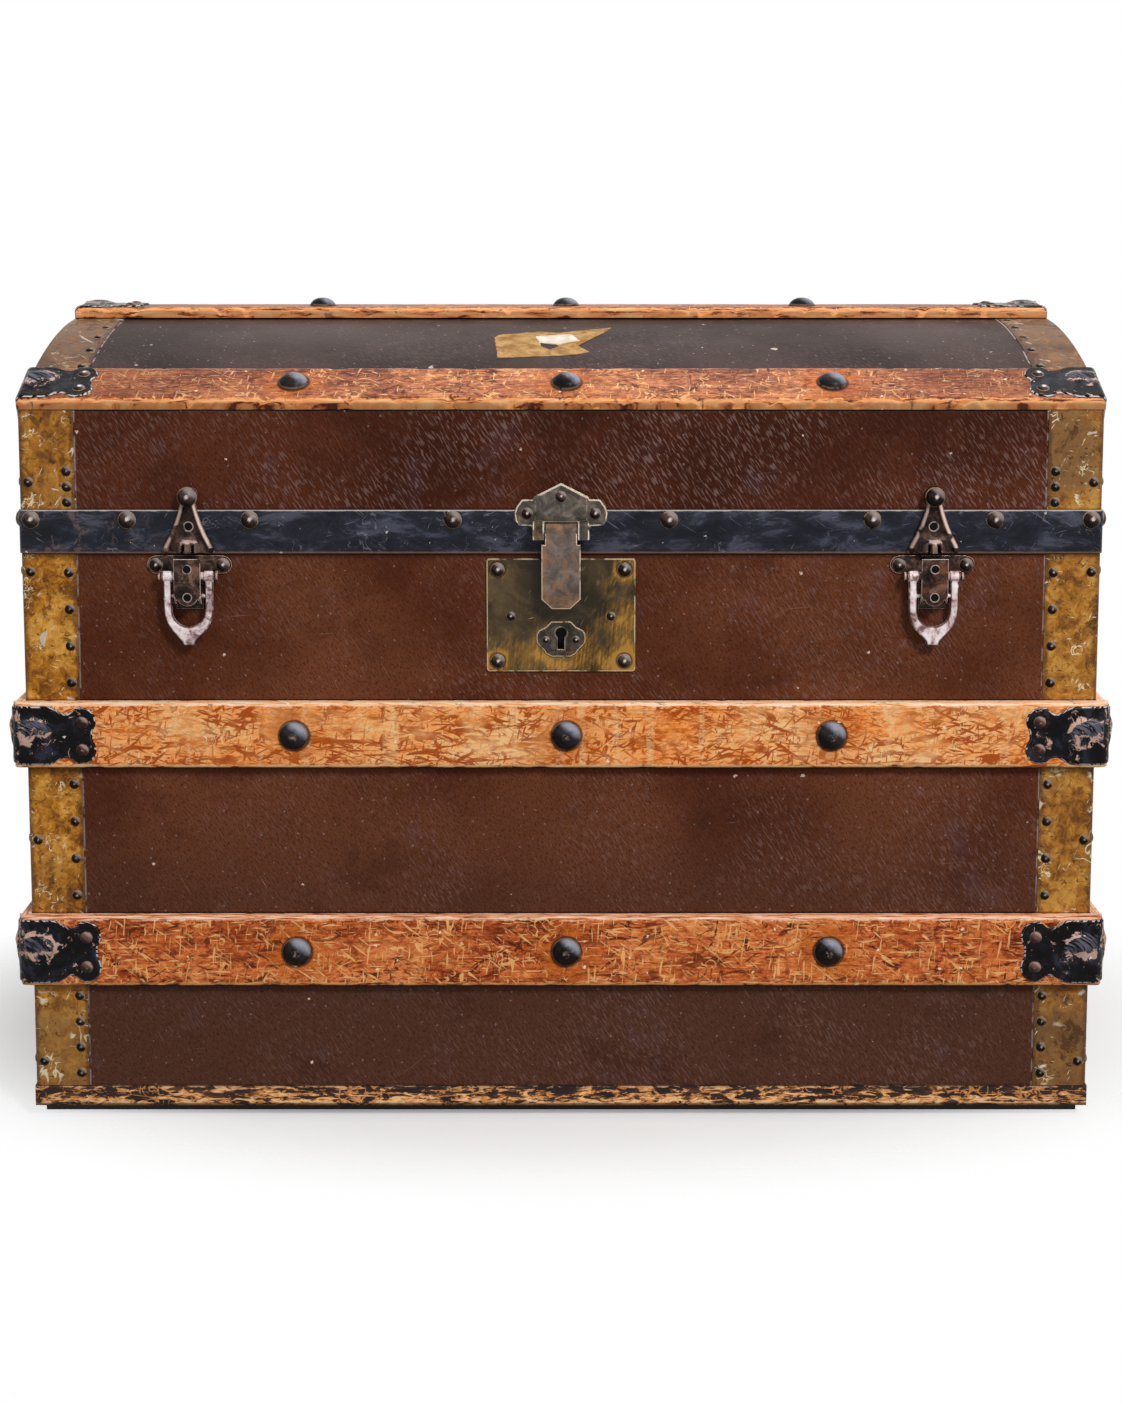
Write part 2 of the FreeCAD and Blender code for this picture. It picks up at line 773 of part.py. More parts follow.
def lock_parts():
    """Lock plate, escutcheon, lock case and bolt, all centred on x = 0."""
    middle = lock_plate_top - lock_plate_height / 2
    outline = centred_box(lock_plate_width, lock_plate_height, lock_plate_thickness)
    upright = [edge for edge in outline.Edges if abs(edge.tangentAt(edge.FirstParameter).z) > 1 / 2]
    face = outline.makeFillet(lock_plate_corner, upright)
    key_height = lock_plate_top - escutcheon_drop
    through = keyhole(2 * cut_overrun)
    slot = centred_box(
        staple_slot_width, staple_slot_height, 2 * cut_overrun,
        0, lock_plate_height / 2 - staple_slot_drop, -cut_overrun)
    face = face.cut(shifted(through, 0, key_height - middle, 0)).cut(slot)
    top = escutcheon_width * escutcheon_top_share / 2
    side = escutcheon_height * escutcheon_side_share / 2
    right, high = escutcheon_width / 2, escutcheon_height / 2
    shield = plate(
        [(-top, -high), (top, -high), (right, -side), (right, side),
         (top, high), (-top, high), (-right, side), (-right, -side)], escutcheon_thickness)
    shield = shield.cut(through)
    case_middle = lock_plate_top - lock_case_drop - lock_case_height / 2
    case = centred_box(lock_case_width, lock_case_height, lock_case_depth)
    hollow = centred_box(
        lock_case_width - 2 * lock_case_wall, lock_case_height - 2 * lock_case_wall,
        lock_case_depth, 0, 0, lock_case_wall)
    case = case.cut(hollow)
    bolt_y = lock_plate_top - staple_slot_drop - case_middle
    guide_y = (lock_bolt_height + lock_guide_height) / 2 + slide_clearance
    guide_length = lock_bolt_length + lock_bolt_travel
    for sign in (-1, 1):
        guide = centred_box(
            guide_length, lock_guide_height, lock_bolt_thickness,
            0, bolt_y + sign * guide_y, lock_case_wall)
        case = case.fuse(guide)
    bolt = centred_box(
        lock_bolt_length, lock_bolt_height, lock_bolt_thickness,
        -lock_bolt_travel / 2, bolt_y, lock_case_wall + slide_clearance)
    return {
        "lock_plate": on_face(face, "front", 0, middle, 0),
        "escutcheon": on_face(shield, "front", 0, key_height, lock_plate_thickness),
        "lock_case": on_face(case, "front", 0, case_middle, -lock_case_depth),
        "lock_bolt": on_face(bolt, "front", 0, case_middle, -lock_case_depth),
    }


# Hasp


def hasp_parts():
    """Hasp plate with its two knuckles, its pin and the swinging tongue, about the hasp's axis."""
    axis_height = seam_height + hasp_axis_rise
    axis_depth = belt_face + hasp_back_gap + hasp_barrel_radius
    plate_z = belt_face - axis_depth
    shoulder_y = hasp_peak_rise - hasp_shoulder_drop
    clear_y = hasp_barrel_radius + hasp_back_gap
    half_barrel = tongue_barrel_length / 2 + hasp_back_gap
    body = plate(
        [(-hasp_shoulder_half_width, 0), (-half_barrel, 0), (-half_barrel, clear_y),
         (half_barrel, clear_y), (half_barrel, 0), (hasp_shoulder_half_width, 0),
         (hasp_shoulder_half_width, shoulder_y), (0, hasp_peak_rise), (-hasp_shoulder_half_width, shoulder_y)],
        hasp_thickness)
    pieces = []
    for sign in (-1, 1):
        pieces.append(disc(hasp_ear_radius, hasp_thickness, sign * hasp_ear_offset, hasp_ear_rise))
        pieces.append(centred_box(
            2 * (hasp_ear_offset - hasp_shoulder_half_width), hasp_ear_top_rise - hasp_ear_rise, hasp_thickness,
            sign * hasp_ear_offset, (hasp_ear_top_rise + hasp_ear_rise) / 2))
    sheet = shifted(body.fuse(pieces), 0, 0, plate_z)
    knuckle_x = half_barrel + hasp_knuckle_length / 2
    knuckles = [rod_x(hasp_barrel_radius, hasp_knuckle_length, 0, 0, sign * knuckle_x) for sign in (-1, 1)]
    whole_length = 2 * (half_barrel + hasp_knuckle_length)
    pin = rod_x(hasp_pin_radius, whole_length, 0, 0)
    hasp = sheet.fuse(knuckles).cut(rod_x(hasp_pin_radius, 2 * whole_length, 0, 0)).removeSplitter()
    barrel = rod_x(hasp_barrel_radius, tongue_barrel_length, 0, 0)
    half, tip = tongue_width / 2, tongue_tip_width / 2
    top = tongue_barrel_length / 2
    low, chamfer = -tongue_length, tongue_tip_height - tongue_length
    strip = plate(
        [(-top, 0), (-top, -tongue_shoulder_drop), (-half, -tongue_shoulder_drop), (-half, chamfer),
         (-tip, low), (tip, low), (half, chamfer), (half, -tongue_shoulder_drop),
         (top, -tongue_shoulder_drop), (top, 0)], tongue_thickness)
    strip = shifted(strip, 0, 0, hasp_barrel_radius - tongue_thickness)
    staple_y = lock_plate_top - staple_slot_drop - axis_height
    staple_end = lock_plate_thickness + staple_plate_gap - axis_depth
    staple_length = hasp_barrel_radius - tongue_thickness - staple_end
    staple = centred_box(staple_width, staple_height, staple_length, 0, staple_y, staple_end)
    eye = centred_box(
        staple_width - 2 * staple_wall, 2 * staple_height, staple_length - 2 * staple_wall,
        0, staple_y, staple_end + staple_wall)
    tongue = barrel.fuse([strip, staple.cut(eye)])
    tongue = tongue.cut(rod_x(hasp_pin_radius + running_clearance, 2 * whole_length, 0, 0)).removeSplitter()
    shapes = {"hasp_plate": hasp, "hasp_pin": pin, "hasp_tongue": tongue}
    return {name: on_face(shape, "front", 0, axis_height, axis_depth) for name, shape in shapes.items()}


# Draw latches, each built about its axle


def latch_base():
    """Plate on the body with two riveted ears, a stem and the lugs that hold the axle."""
    top = latch_axle_drop - latch_plate_seam_gap
    ears = [disc(latch_ear_radius, latch_plate_thickness, sign * latch_ear_offset, latch_ear_rise)
            for sign in (-1, 1)]
    bridge_low = latch_ear_rise - latch_ear_radius
    bridge = Part.makeBox(
        2 * latch_ear_offset, top - bridge_low, latch_plate_thickness, Vector(-latch_ear_offset, bridge_low, 0))
    stem = Part.makeBox(
        latch_stem_width, latch_stem_drop + top, latch_plate_thickness,
        Vector(-latch_stem_width / 2, -latch_stem_drop, 0))
    sheet = bridge.fuse(ears + [stem])
    lug_x = (lever_width + latch_lug_thickness) / 2 + latch_lug_gap
    lugs = []
    for sign in (-1, 1):
        web_height = bridge_low + latch_axle_head_radius + latch_plate_thickness
        lugs.append(centred_box(
            latch_lug_thickness, web_height, latch_axle_depth,
            sign * lug_x, web_height / 2 - latch_axle_head_radius))
        lugs.append(rod_x(latch_axle_head_radius, latch_lug_thickness, 0, latch_axle_depth, sign * lug_x))
    hole = rod_x(latch_axle_radius, 2 * lever_width, 0, latch_axle_depth)
    return sheet.fuse(lugs).cut(hole).removeSplitter()


def latch_axle():
    """Axle between the lugs, with a head outside each."""
    outside = lever_width / 2 + latch_lug_gap + latch_lug_thickness
    head_x = outside + latch_axle_head_length / 2
    heads = [rod_x(latch_axle_head_radius, latch_axle_head_length, 0, latch_axle_depth, sign * head_x)
             for sign in (-1, 1)]
    return rod_x(latch_axle_radius, 2 * outside, 0, latch_axle_depth).fuse(heads).removeSplitter()


def latch_lever():
    """Pull lever: hub, two arms that run together in a blunt point, and the cross pin of the strap."""
    half = lever_width / 2
    inner = half - lever_stock
    side = [(half, 0), (half, -lever_shoulder_drop), (lever_waist_width / 2, -lever_waist_drop),
            (lever_neck_width / 2, -lever_neck_drop), (lever_tip_width / 2, -lever_tip_drop)]
    outside = plate([(-x, y) for x, y in side] + side[::-1], lever_thickness)
    bend_drop = lever_eye_drop - inner
    inside = centred_box(2 * inner, bend_drop, lever_thickness, 0, -bend_drop / 2)
    inside = inside.fuse(disc(inner, lever_thickness, 0, -bend_drop))
    bail = shifted(outside.cut(inside), 0, 0, latch_axle_depth - lever_thickness / 2)
    hub = rod_x(lever_hub_radius, lever_width, 0, latch_axle_depth)
    pin = rod_x(lever_pin_radius, 2 * inner + lever_stock, -lever_pin_drop, latch_axle_depth)
    bore = rod_x(latch_axle_radius + running_clearance, 2 * lever_width, 0, latch_axle_depth)
    return hub.fuse([bail, pin]).cut(bore).removeSplitter()


def latch_strap():
    """Channel-shaped strap in front of the hub, pinned to the lever through its two flanges."""
    face_z = latch_axle_depth + lever_hub_radius + strap_hub_gap
    half = strap_width / 2
    face = Part.makeBox(
        strap_width, strap_rise + strap_drop, strap_thickness, Vector(-half, -strap_drop, face_z))
    flange_low = -lever_pin_drop - strap_flange_height / 2
    flanges = [
        Part.makeBox(
            strap_thickness, strap_flange_height, strap_flange_depth,
            Vector(x, flange_low, face_z + strap_thickness - strap_flange_depth))
        for x in (-half, half - strap_thickness)
    ]
    pin_hole = rod_x(
        lever_pin_radius + running_clearance, 2 * strap_width, -lever_pin_drop, latch_axle_depth)
    hole = disc(strap_hole_radius, 2 * cut_overrun, 0, strap_hole_rise, face_z - cut_overrun)
    return face.fuse(flanges).cut(pin_hole).cut(hole).removeSplitter()


def latch_catch():
    """Catch on the lid: a tapered plate with raised edges, a round hood over the seam and a boss on top."""
    half, top = catch_width / 2, catch_top_width / 2
    depth = latch_plate_thickness + catch_rib_height
    rib = catch_rib_width
    body = plate([(-half, 0), (half, 0), (top, catch_height), (-top, catch_height)], depth)
    pocket = plate(
        [(rib - half, -cut_overrun), (half - rib, -cut_overrun),
         (top - rib * 2 / 3, catch_height), (rib * 2 / 3 - top, catch_height)], depth)
    body = body.cut(shifted(pocket, 0, 0, latch_plate_thickness))
    body = body.cut(disc(catch_hole_radius, depth, 0, catch_hole_rise))
    boss = disc(ball_radius, belt_face + depth, 0, catch_height, -belt_face)
    hood = Part.makeSphere(catch_hood_radius, Vector(0, catch_hood_rise, latch_plate_thickness))
    keep = Part.makeBox(
        2 * catch_hood_radius, 2 * catch_hood_radius, 2 * catch_hood_radius, Vector(-catch_hood_radius, 0, 0))
    hood = hood.common(keep)
    for sign in (-1, 1):
        slit = Part.makeBox(
            catch_hood_slit, catch_hood_radius, 2 * catch_hood_radius,
            Vector(sign * catch_hood_slit_offset - catch_hood_slit / 2, 0, latch_plate_thickness * 2))
        hood = hood.cut(slit)
    return body.fuse([hood, boss]).removeSplitter()


def latch_parts():
    """Both draw latches, left and right alike."""
    places = (-latch_offset, latch_offset)
    levers = [on_face(latch_lever(), "front", x, latch_axle_height, 0) for x in places]
    straps = [on_face(latch_strap(), "front", x, latch_axle_height, 0) for x in places]
    return {
        "latch_bases": [on_face(latch_base(), "front", x, latch_axle_height, 0) for x in places],
        "latch_axles": [on_face(latch_axle(), "front", x, latch_axle_height, 0) for x in places],
        "latch_catches": [
            on_face(latch_catch(), "front", x, seam_height + catch_seam_rise, belt_face) for x in places],
        "left_lever": levers[0],
        "right_lever": levers[1],
        "left_strap": straps[0],
        "right_strap": straps[1],
    }


# Back hinges


def hinge_leaf(direction, leaf_depth, first, last):
    """Leaf above (1) or below (-1) the axis, whose knuckles are those numbered first and last."""
    knuckle = hinge_width * hinge_middle_share
    side = (hinge_width - knuckle) / 2 - hinge_knuckle_gap
    spans = ((-hinge_width / 2, side), (-knuckle / 2, knuckle), (hinge_width / 2 - side, side))
    web_height = hinge_barrel_radius
    leaf_low = web_height if direction > 0 else -web_height - hinge_leaf_height
    leaf = Part.makeBox(
        hinge_width, hinge_leaf_height, hinge_leaf_thickness, Vector(-hinge_width / 2, leaf_low, leaf_depth))
    pieces = []
    for index in range(first, last + 1, 2):
        start, length = spans[index]
        pieces.append(rod_x(hinge_barrel_radius, length, 0, hinge_axis_depth, start + length / 2))
        web_low = hinge_leaf_gap if direction > 0 else -web_height - hinge_leaf_gap
        pieces.append(Part.makeBox(
            length, web_height, hinge_axis_depth - leaf_depth, Vector(start, web_low, leaf_depth)))
    return leaf.fuse(pieces)


def hinge_parts():
    """Two back hinges: leaves on the body and on the lid, and their pins."""
    places = (-hinge_offset, hinge_offset)
    pin_bore = rod_x(hinge_pin_radius, 2 * hinge_width, 0, hinge_axis_depth)
    loose_bore = rod_x(hinge_pin_radius + running_clearance, 2 * hinge_width, 0, hinge_axis_depth)
    body_leaf = hinge_leaf(-1, 0, 0, 2).cut(pin_bore).removeSplitter()
    lid_leaf = hinge_leaf(1, belt_face, 1, 1).cut(loose_bore).removeSplitter()
    pin = rod_x(hinge_pin_radius, hinge_width, 0, hinge_axis_depth)
    shapes = {"hinge_body_leaves": body_leaf, "hinge_lid_leaves": lid_leaf, "hinge_pins": pin}
    return {
        name: [on_face(shape, "back", x, seam_height, 0) for x in places] for name, shape in shapes.items()}


# Rivets of the fittings


def hardware_rivets():
    """Rivets of the fittings of the body and of the lid."""
    body, lid = [], []
    corner = cap(lock_rivet_radius, lock_rivet_height)
    middle = lock_plate_top - lock_plate_height / 2
    corner_x = lock_plate_width / 2 - lock_rivet_inset
    corner_z = lock_plate_height / 2 - lock_rivet_inset
    small = cap(small_rivet_radius, small_rivet_height)
    tiny = cap(escutcheon_rivet_radius, small_rivet_height)
    ear = cap(latch_ear_rivet_radius, lock_rivet_height)
    hinge = cap(hinge_rivet_radius, hinge_rivet_height)
    shield_face = lock_plate_thickness + escutcheon_thickness
    for sign in (-1, 1):
        for rise in (-corner_z, corner_z):
            body.append(on_face(corner, "front", sign * corner_x, middle + rise, lock_plate_thickness))
        height = lock_plate_top - small_rivet_drop
        body.append(on_face(small, "front", sign * small_rivet_offset, height, lock_plate_thickness))
        height = lock_plate_top - escutcheon_drop
        body.append(on_face(tiny, "front", sign * escutcheon_rivet_offset, height, shield_face))
        for latch_x in (-latch_offset, latch_offset):
            height = latch_axle_height + latch_ear_rise
            body.append(on_face(
                ear, "front", latch_x + sign * latch_ear_offset, height, latch_plate_thickness))
        for hinge_x in (-hinge_offset, hinge_offset):
            rise = hinge_barrel_radius + hinge_leaf_height / 2
            x = hinge_x + sign * hinge_width * hinge_rivet_share
            body.append(on_face(hinge, "back", x, seam_height - rise, hinge_leaf_thickness))
            lid.append(on_face(hinge, "back", x, seam_height + rise, belt_face + hinge_leaf_thickness))
    head = cap(hasp_rivet_radius, hasp_rivet_height)
    hasp_face = belt_face + hasp_thickness
    hasp_height = seam_height + hasp_axis_rise
    peak = hasp_height + hasp_peak_rise - hasp_shoulder_drop
    lid.append(on_face(head, "front", 0, peak, hasp_face))
    for sign in (-1, 1):
        lid.append(on_face(head, "front", sign * hasp_ear_offset, hasp_height + hasp_ear_rise, hasp_face))
    ball = cap(ball_radius, ball_height)
    ball_z = seam_height + catch_seam_rise + catch_height
    catch_face = belt_face + latch_plate_thickness + catch_rib_height
    for latch_x in (-latch_offset, latch_offset):
        lid.append(on_face(ball, "front", latch_x, ball_z, catch_face))
    return body, lid


# End handles


def handle_bracket():
    """Bracket plate with two lugs, about the handle's axis at the local y = 0."""
    sheet = centred_box(bracket_width, bracket_height, bracket_thickness)
    lug_x = (handle_eye_length + bracket_lug_thickness) / 2 + bracket_lug_gap
    lugs = []
    for sign in (-1, 1):
        lugs.append(centred_box(
            bracket_lug_thickness, 2 * handle_eye_radius, handle_pivot_depth, sign * lug_x, 0))
        lugs.append(rod_x(handle_eye_radius, bracket_lug_thickness, 0, handle_pivot_depth, sign * lug_x))
    bore = rod_x(handle_pin_radius, 2 * bracket_width, 0, handle_pivot_depth)
    return sheet.fuse(lugs).cut(bore).removeSplitter()


def handle_strap():
    """Leather handle: two eyes, a strap that hangs from them and a rounder grip in its middle."""
    outer_width = handle_span + handle_strap_width
    inner_width = handle_span - handle_strap_width
    low = -handle_height
    outer = Part.makeBox(outer_width, handle_height, handle_thickness, Vector(-outer_width / 2, low, 0))
    corners = [
        edge for edge in outer.Edges
        if abs(edge.tangentAt(edge.FirstParameter).z) > 1 / 2 and edge.CenterOfMass.y < low / 2
    ]
    outer = outer.makeFillet(handle_corner_radius, corners)
    window = Part.makeBox(
        inner_width, handle_height - handle_strap_width, handle_thickness,
        Vector(-inner_width / 2, low + handle_strap_width, 0))
    strap = shifted(outer.cut(window), 0, 0, handle_pivot_depth - handle_thickness / 2)
    grip = rod_x(
        handle_grip_radius, handle_span * handle_grip_share, low + handle_strap_width / 2, handle_pivot_depth)
    eyes = [rod_x(handle_eye_radius, handle_eye_length, 0, handle_pivot_depth, sign * handle_span / 2)
            for sign in (-1, 1)]
    bore = rod_x(handle_pin_radius + running_clearance, 2 * outer_width, 0, handle_pivot_depth)
    return strap.fuse(eyes + [grip]).cut(bore).removeSplitter()


def handle_parts():
    """Handles of both ends with their brackets, pins and rivets."""
    sides = ("left", "right")
    places = (-handle_span / 2, handle_span / 2)
    bracket = handle_bracket()
    pin = rod_x(handle_pin_radius, bracket_width, 0, handle_pivot_depth)
    head = cap(bracket_rivet_radius, bracket_rivet_height)
    outer_lug = handle_eye_length / 2 + bracket_lug_gap + bracket_lug_thickness
    rivet_x = (bracket_width / 2 + outer_lug) / 2
    rivet_z = bracket_height / 2 - bracket_rivet_radius * 3 / 2
    height = handle_axis_height
    rivets = [
        on_face(head, side, x + along * rivet_x, height + rise * rivet_z, bracket_thickness)
        for side in sides for x in places for along in (-1, 1) for rise in (-1, 1)
    ]
    nodes = {
        "handle_brackets": [on_face(bracket, side, x, height, 0) for side in sides for x in places],
        "handle_pins": [on_face(pin, side, x, height, 0) for side in sides for x in places],
    }
    for side in sides:
        nodes[f"{side}_handle"] = on_face(handle_strap(), side, 0, height, 0)
    return nodes, rivets


def all_nodes():
    """Every sub-part by name, as one shape or as a list of separate ones."""
    body_rivets, lid_rivets = hardware_rivets()
    handles, handle_rivets = handle_parts()
    lid_slat_clamps, lid_clamp_rivets = lid_clamps()
    nodes = {
        "body_canvas": body_canvas(),
        "base_rail": base_rail(),
        "bottom_runners": bottom_runners(),
        "body_corner_bands": body_corner_bands(),
        "lid_belt": lid_belt(),
        "belt_rivets": belt_rivets(),
        "body_band_nails": body_band_nails(),
        "lid_band_nails": lid_band_nails(),
        "body_hardware_rivets": body_rivets + handle_rivets,
        "lid_hardware_rivets": lid_rivets + lid_clamp_rivets,
        "lid_slat_clamps": lid_slat_clamps,
    }
    groups = (
        body_boards(), lid_boards(), lid_bands(), body_slats(), lid_slats_on_dome(), slat_studs(),
        corner_clamps(), lock_parts(), hasp_parts(), latch_parts(), hinge_parts(), handles,
    )
    for group in groups:
        nodes.update(group)
    return nodes


def main():
    """Write one STEP file for each sub-part."""
    os.makedirs("parts", exist_ok=True)
    for name, shape in sorted(all_nodes().items()):
        pieces = shape if isinstance(shape, list) else [shape]
        solids = [solid for piece in pieces for solid in piece.Solids]
        result = solids[0] if len(solids) == 1 else Part.makeCompound(solids)
        print(name, len(solids), result.isValid(), round(result.Volume))
        result.exportStep(f"parts/{name}.step")


main()
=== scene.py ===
"""Looks of a travel trunk with a domed lid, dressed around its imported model.

Lengths are in metres, +Z is up and the front faces -Y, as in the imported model.
"""

import json
import logging
import math
from dataclasses import dataclass
from enum import Enum
from typing import Callable, Sequence

import bmesh
import bpy
import numpy as np
from mathutils import Matrix, Vector, noise

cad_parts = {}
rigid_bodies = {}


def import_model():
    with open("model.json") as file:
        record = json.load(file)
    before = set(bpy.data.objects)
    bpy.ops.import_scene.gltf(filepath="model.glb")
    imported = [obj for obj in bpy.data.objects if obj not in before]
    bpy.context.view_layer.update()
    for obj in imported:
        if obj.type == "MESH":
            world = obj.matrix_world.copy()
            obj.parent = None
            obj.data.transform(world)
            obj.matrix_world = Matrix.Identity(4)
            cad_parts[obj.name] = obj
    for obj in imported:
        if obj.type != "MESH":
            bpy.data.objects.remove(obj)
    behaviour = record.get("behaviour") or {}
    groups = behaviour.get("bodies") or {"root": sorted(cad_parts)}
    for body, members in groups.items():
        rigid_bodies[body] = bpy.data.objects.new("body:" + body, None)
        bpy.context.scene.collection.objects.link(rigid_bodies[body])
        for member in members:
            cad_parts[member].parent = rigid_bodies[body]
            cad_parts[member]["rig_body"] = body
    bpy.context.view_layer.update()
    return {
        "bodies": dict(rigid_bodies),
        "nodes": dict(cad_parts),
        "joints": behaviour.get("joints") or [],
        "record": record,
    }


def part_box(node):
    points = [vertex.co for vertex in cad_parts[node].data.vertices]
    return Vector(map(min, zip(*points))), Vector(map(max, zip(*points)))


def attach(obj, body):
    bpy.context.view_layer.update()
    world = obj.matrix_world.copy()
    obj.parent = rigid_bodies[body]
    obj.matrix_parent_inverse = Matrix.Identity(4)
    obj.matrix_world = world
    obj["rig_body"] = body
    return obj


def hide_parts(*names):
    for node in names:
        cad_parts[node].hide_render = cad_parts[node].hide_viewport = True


log = logging.getLogger("trunk")
Colour = tuple[float, float, float, float]
Point = tuple[float, float]
MM = 0.001
HALF_WIDTH = 406.5 * MM
HALF_DEPTH = 235.0 * MM


def paint(red: int, green: int, blue: int) -> Colour:
    """Linear colour of an 8-bit screen colour.

    Args:
        red: red from 0 to 255.
        green: green from 0 to 255.
        blue: blue from 0 to 255.

    Returns:
        The colour that a shader socket takes.
    """
    def linear(value: int) -> float:
        share = value / 255
        return share / 12.92 if share <= 0.04045 else ((share + 0.055) / 1.055) ** 2.4

    return linear(red), linear(green), linear(blue), 1.0


class Term:
    """Socket of a node graph that takes part in Python expressions."""

    def __init__(self, graph: "Graph", socket: bpy.types.NodeSocket) -> None:
        """Hold a graph and one of its output sockets."""
        self.graph = graph
        self.socket = socket

    def __add__(self, other: "Term | float") -> "Term":
        """Sum."""
        return self.graph.math("ADD", self, other)

    def __sub__(self, other: "Term | float") -> "Term":
        """Difference."""
        return self.graph.math("SUBTRACT", self, other)

    def __rsub__(self, other: float) -> "Term":
        """Difference from a number."""
        return self.graph.math("SUBTRACT", other, self)

    def __mul__(self, other: "Term | float") -> "Term":
        """Product."""
        return self.graph.math("MULTIPLY", self, other)

    def __abs__(self) -> "Term":
        """Size without the sign."""
        return self.graph.math("ABSOLUTE", self)

    def either(self, other: "Term | float") -> "Term":
        """The larger of two values."""
        return self.graph.math("MAXIMUM", self, other)

    def both(self, other: "Term | float") -> "Term":
        """The smaller of two values."""
        return self.graph.math("MINIMUM", self, other)

    __radd__ = __add__
    __rmul__ = __mul__


class Graph:
    """Node tree that is written as Python expressions."""

    def __init__(self, tree: bpy.types.NodeTree) -> None:
        """Hold the tree and empty it."""
        self.tree = tree
        tree.nodes.clear()

    def put(self, socket: bpy.types.NodeSocket, value: object) -> None:
        """Link a term to an input socket, or set the socket's own value.

        Args:
            socket: the input socket.
            value: a Term, or what the socket's default value takes.
        """
        if isinstance(value, Term):
            self.tree.links.new(value.socket, socket)
        else:
            socket.default_value = value

    def node(self, kind: str, settings: dict | None = None, inputs: dict | None = None) -> bpy.types.Node:
        """Add a node.

        Args:
            kind: the node's type.
            settings: its settings, which are set first.
            inputs: values or terms of its input sockets, by name or number.

        Returns:
            The node.
        """
        made = self.tree.nodes.new(kind)
        for name, value in (settings or {}).items():
            setattr(made, name, value)
        for name, value in (inputs or {}).items():
            self.put(made.inputs[name], value)
        return made

    def out(self, kind: str, settings: dict | None = None, inputs: dict | None = None, which: int | str = 0) -> Term:
        """Add a node and take one of its outputs.

        Args:
            kind: the node's type.
            settings: its settings.
            inputs: values or terms of its input sockets.
            which: name or number of the output.

        Returns:
            The output as a term.
        """
        return Term(self, self.node(kind, settings, inputs).outputs[which])

    def math(self, operation: str, *values: "Term | float") -> Term:
        """Math node on numbers.

        Args:
            operation: the node's operation.
            values: its terms or numbers, in order.

        Returns:
            The result.
        """
        return self.out("ShaderNodeMath", {"operation": operation}, dict(enumerate(values)))

    def vector(self, operation: str, *values: object) -> Term:
        """Vector Math node.

        Args:
            operation: the node's operation.
            values: its terms or vectors, in order.

        Returns:
            The resulting vector, or the length for LENGTH.
        """
        which = 1 if operation in ("LENGTH", "DOT_PRODUCT", "DISTANCE") else 0
        return self.out("ShaderNodeVectorMath", {"operation": operation}, dict(enumerate(values)), which)

    def join(self, x: object, y: object, z: object) -> Term:
        """Vector of three values."""
        return self.out("ShaderNodeCombineXYZ", None, {0: x, 1: y, 2: z})

    def split(self, place: Term) -> list[Term]:
        """The three values of a vector."""
        made = self.node("ShaderNodeSeparateXYZ", None, {0: place})
        return [Term(self, socket) for socket in made.outputs[:3]]

    def smooth(self, value: Term, low: float, high: float) -> Term:
        """Smooth step.

        Args:
            value: what is compared.
            low: where the result is 0.
            high: where the result is 1.

        Returns:
            A value from 0 to 1.
        """
        rising = low < high
        first, last = (low, high) if rising else (high, low)
        ends = {"Value": value, "From Min": first, "From Max": last,
                "To Min": 0.0 if rising else 1.0, "To Max": 1.0 if rising else 0.0}
        return self.out("ShaderNodeMapRange", {"interpolation_type": "SMOOTHSTEP"}, ends)

    def noise(self, place: Term, scale: float, detail: float = 2.0, rough: float = 0.5, warp: float = 0.0) -> Term:
        """Noise value, mostly from 0.3 to 0.7.

        Args:
            place: where it is read.
            scale: its frequency.
            detail: its octaves.
            rough: strength of the finer octaves.
            warp: its distortion.

        Returns:
            The noise.
        """
        return self.out("ShaderNodeTexNoise", None, {
            "Vector": place, "Scale": scale, "Detail": detail, "Roughness": rough, "Distortion": warp})


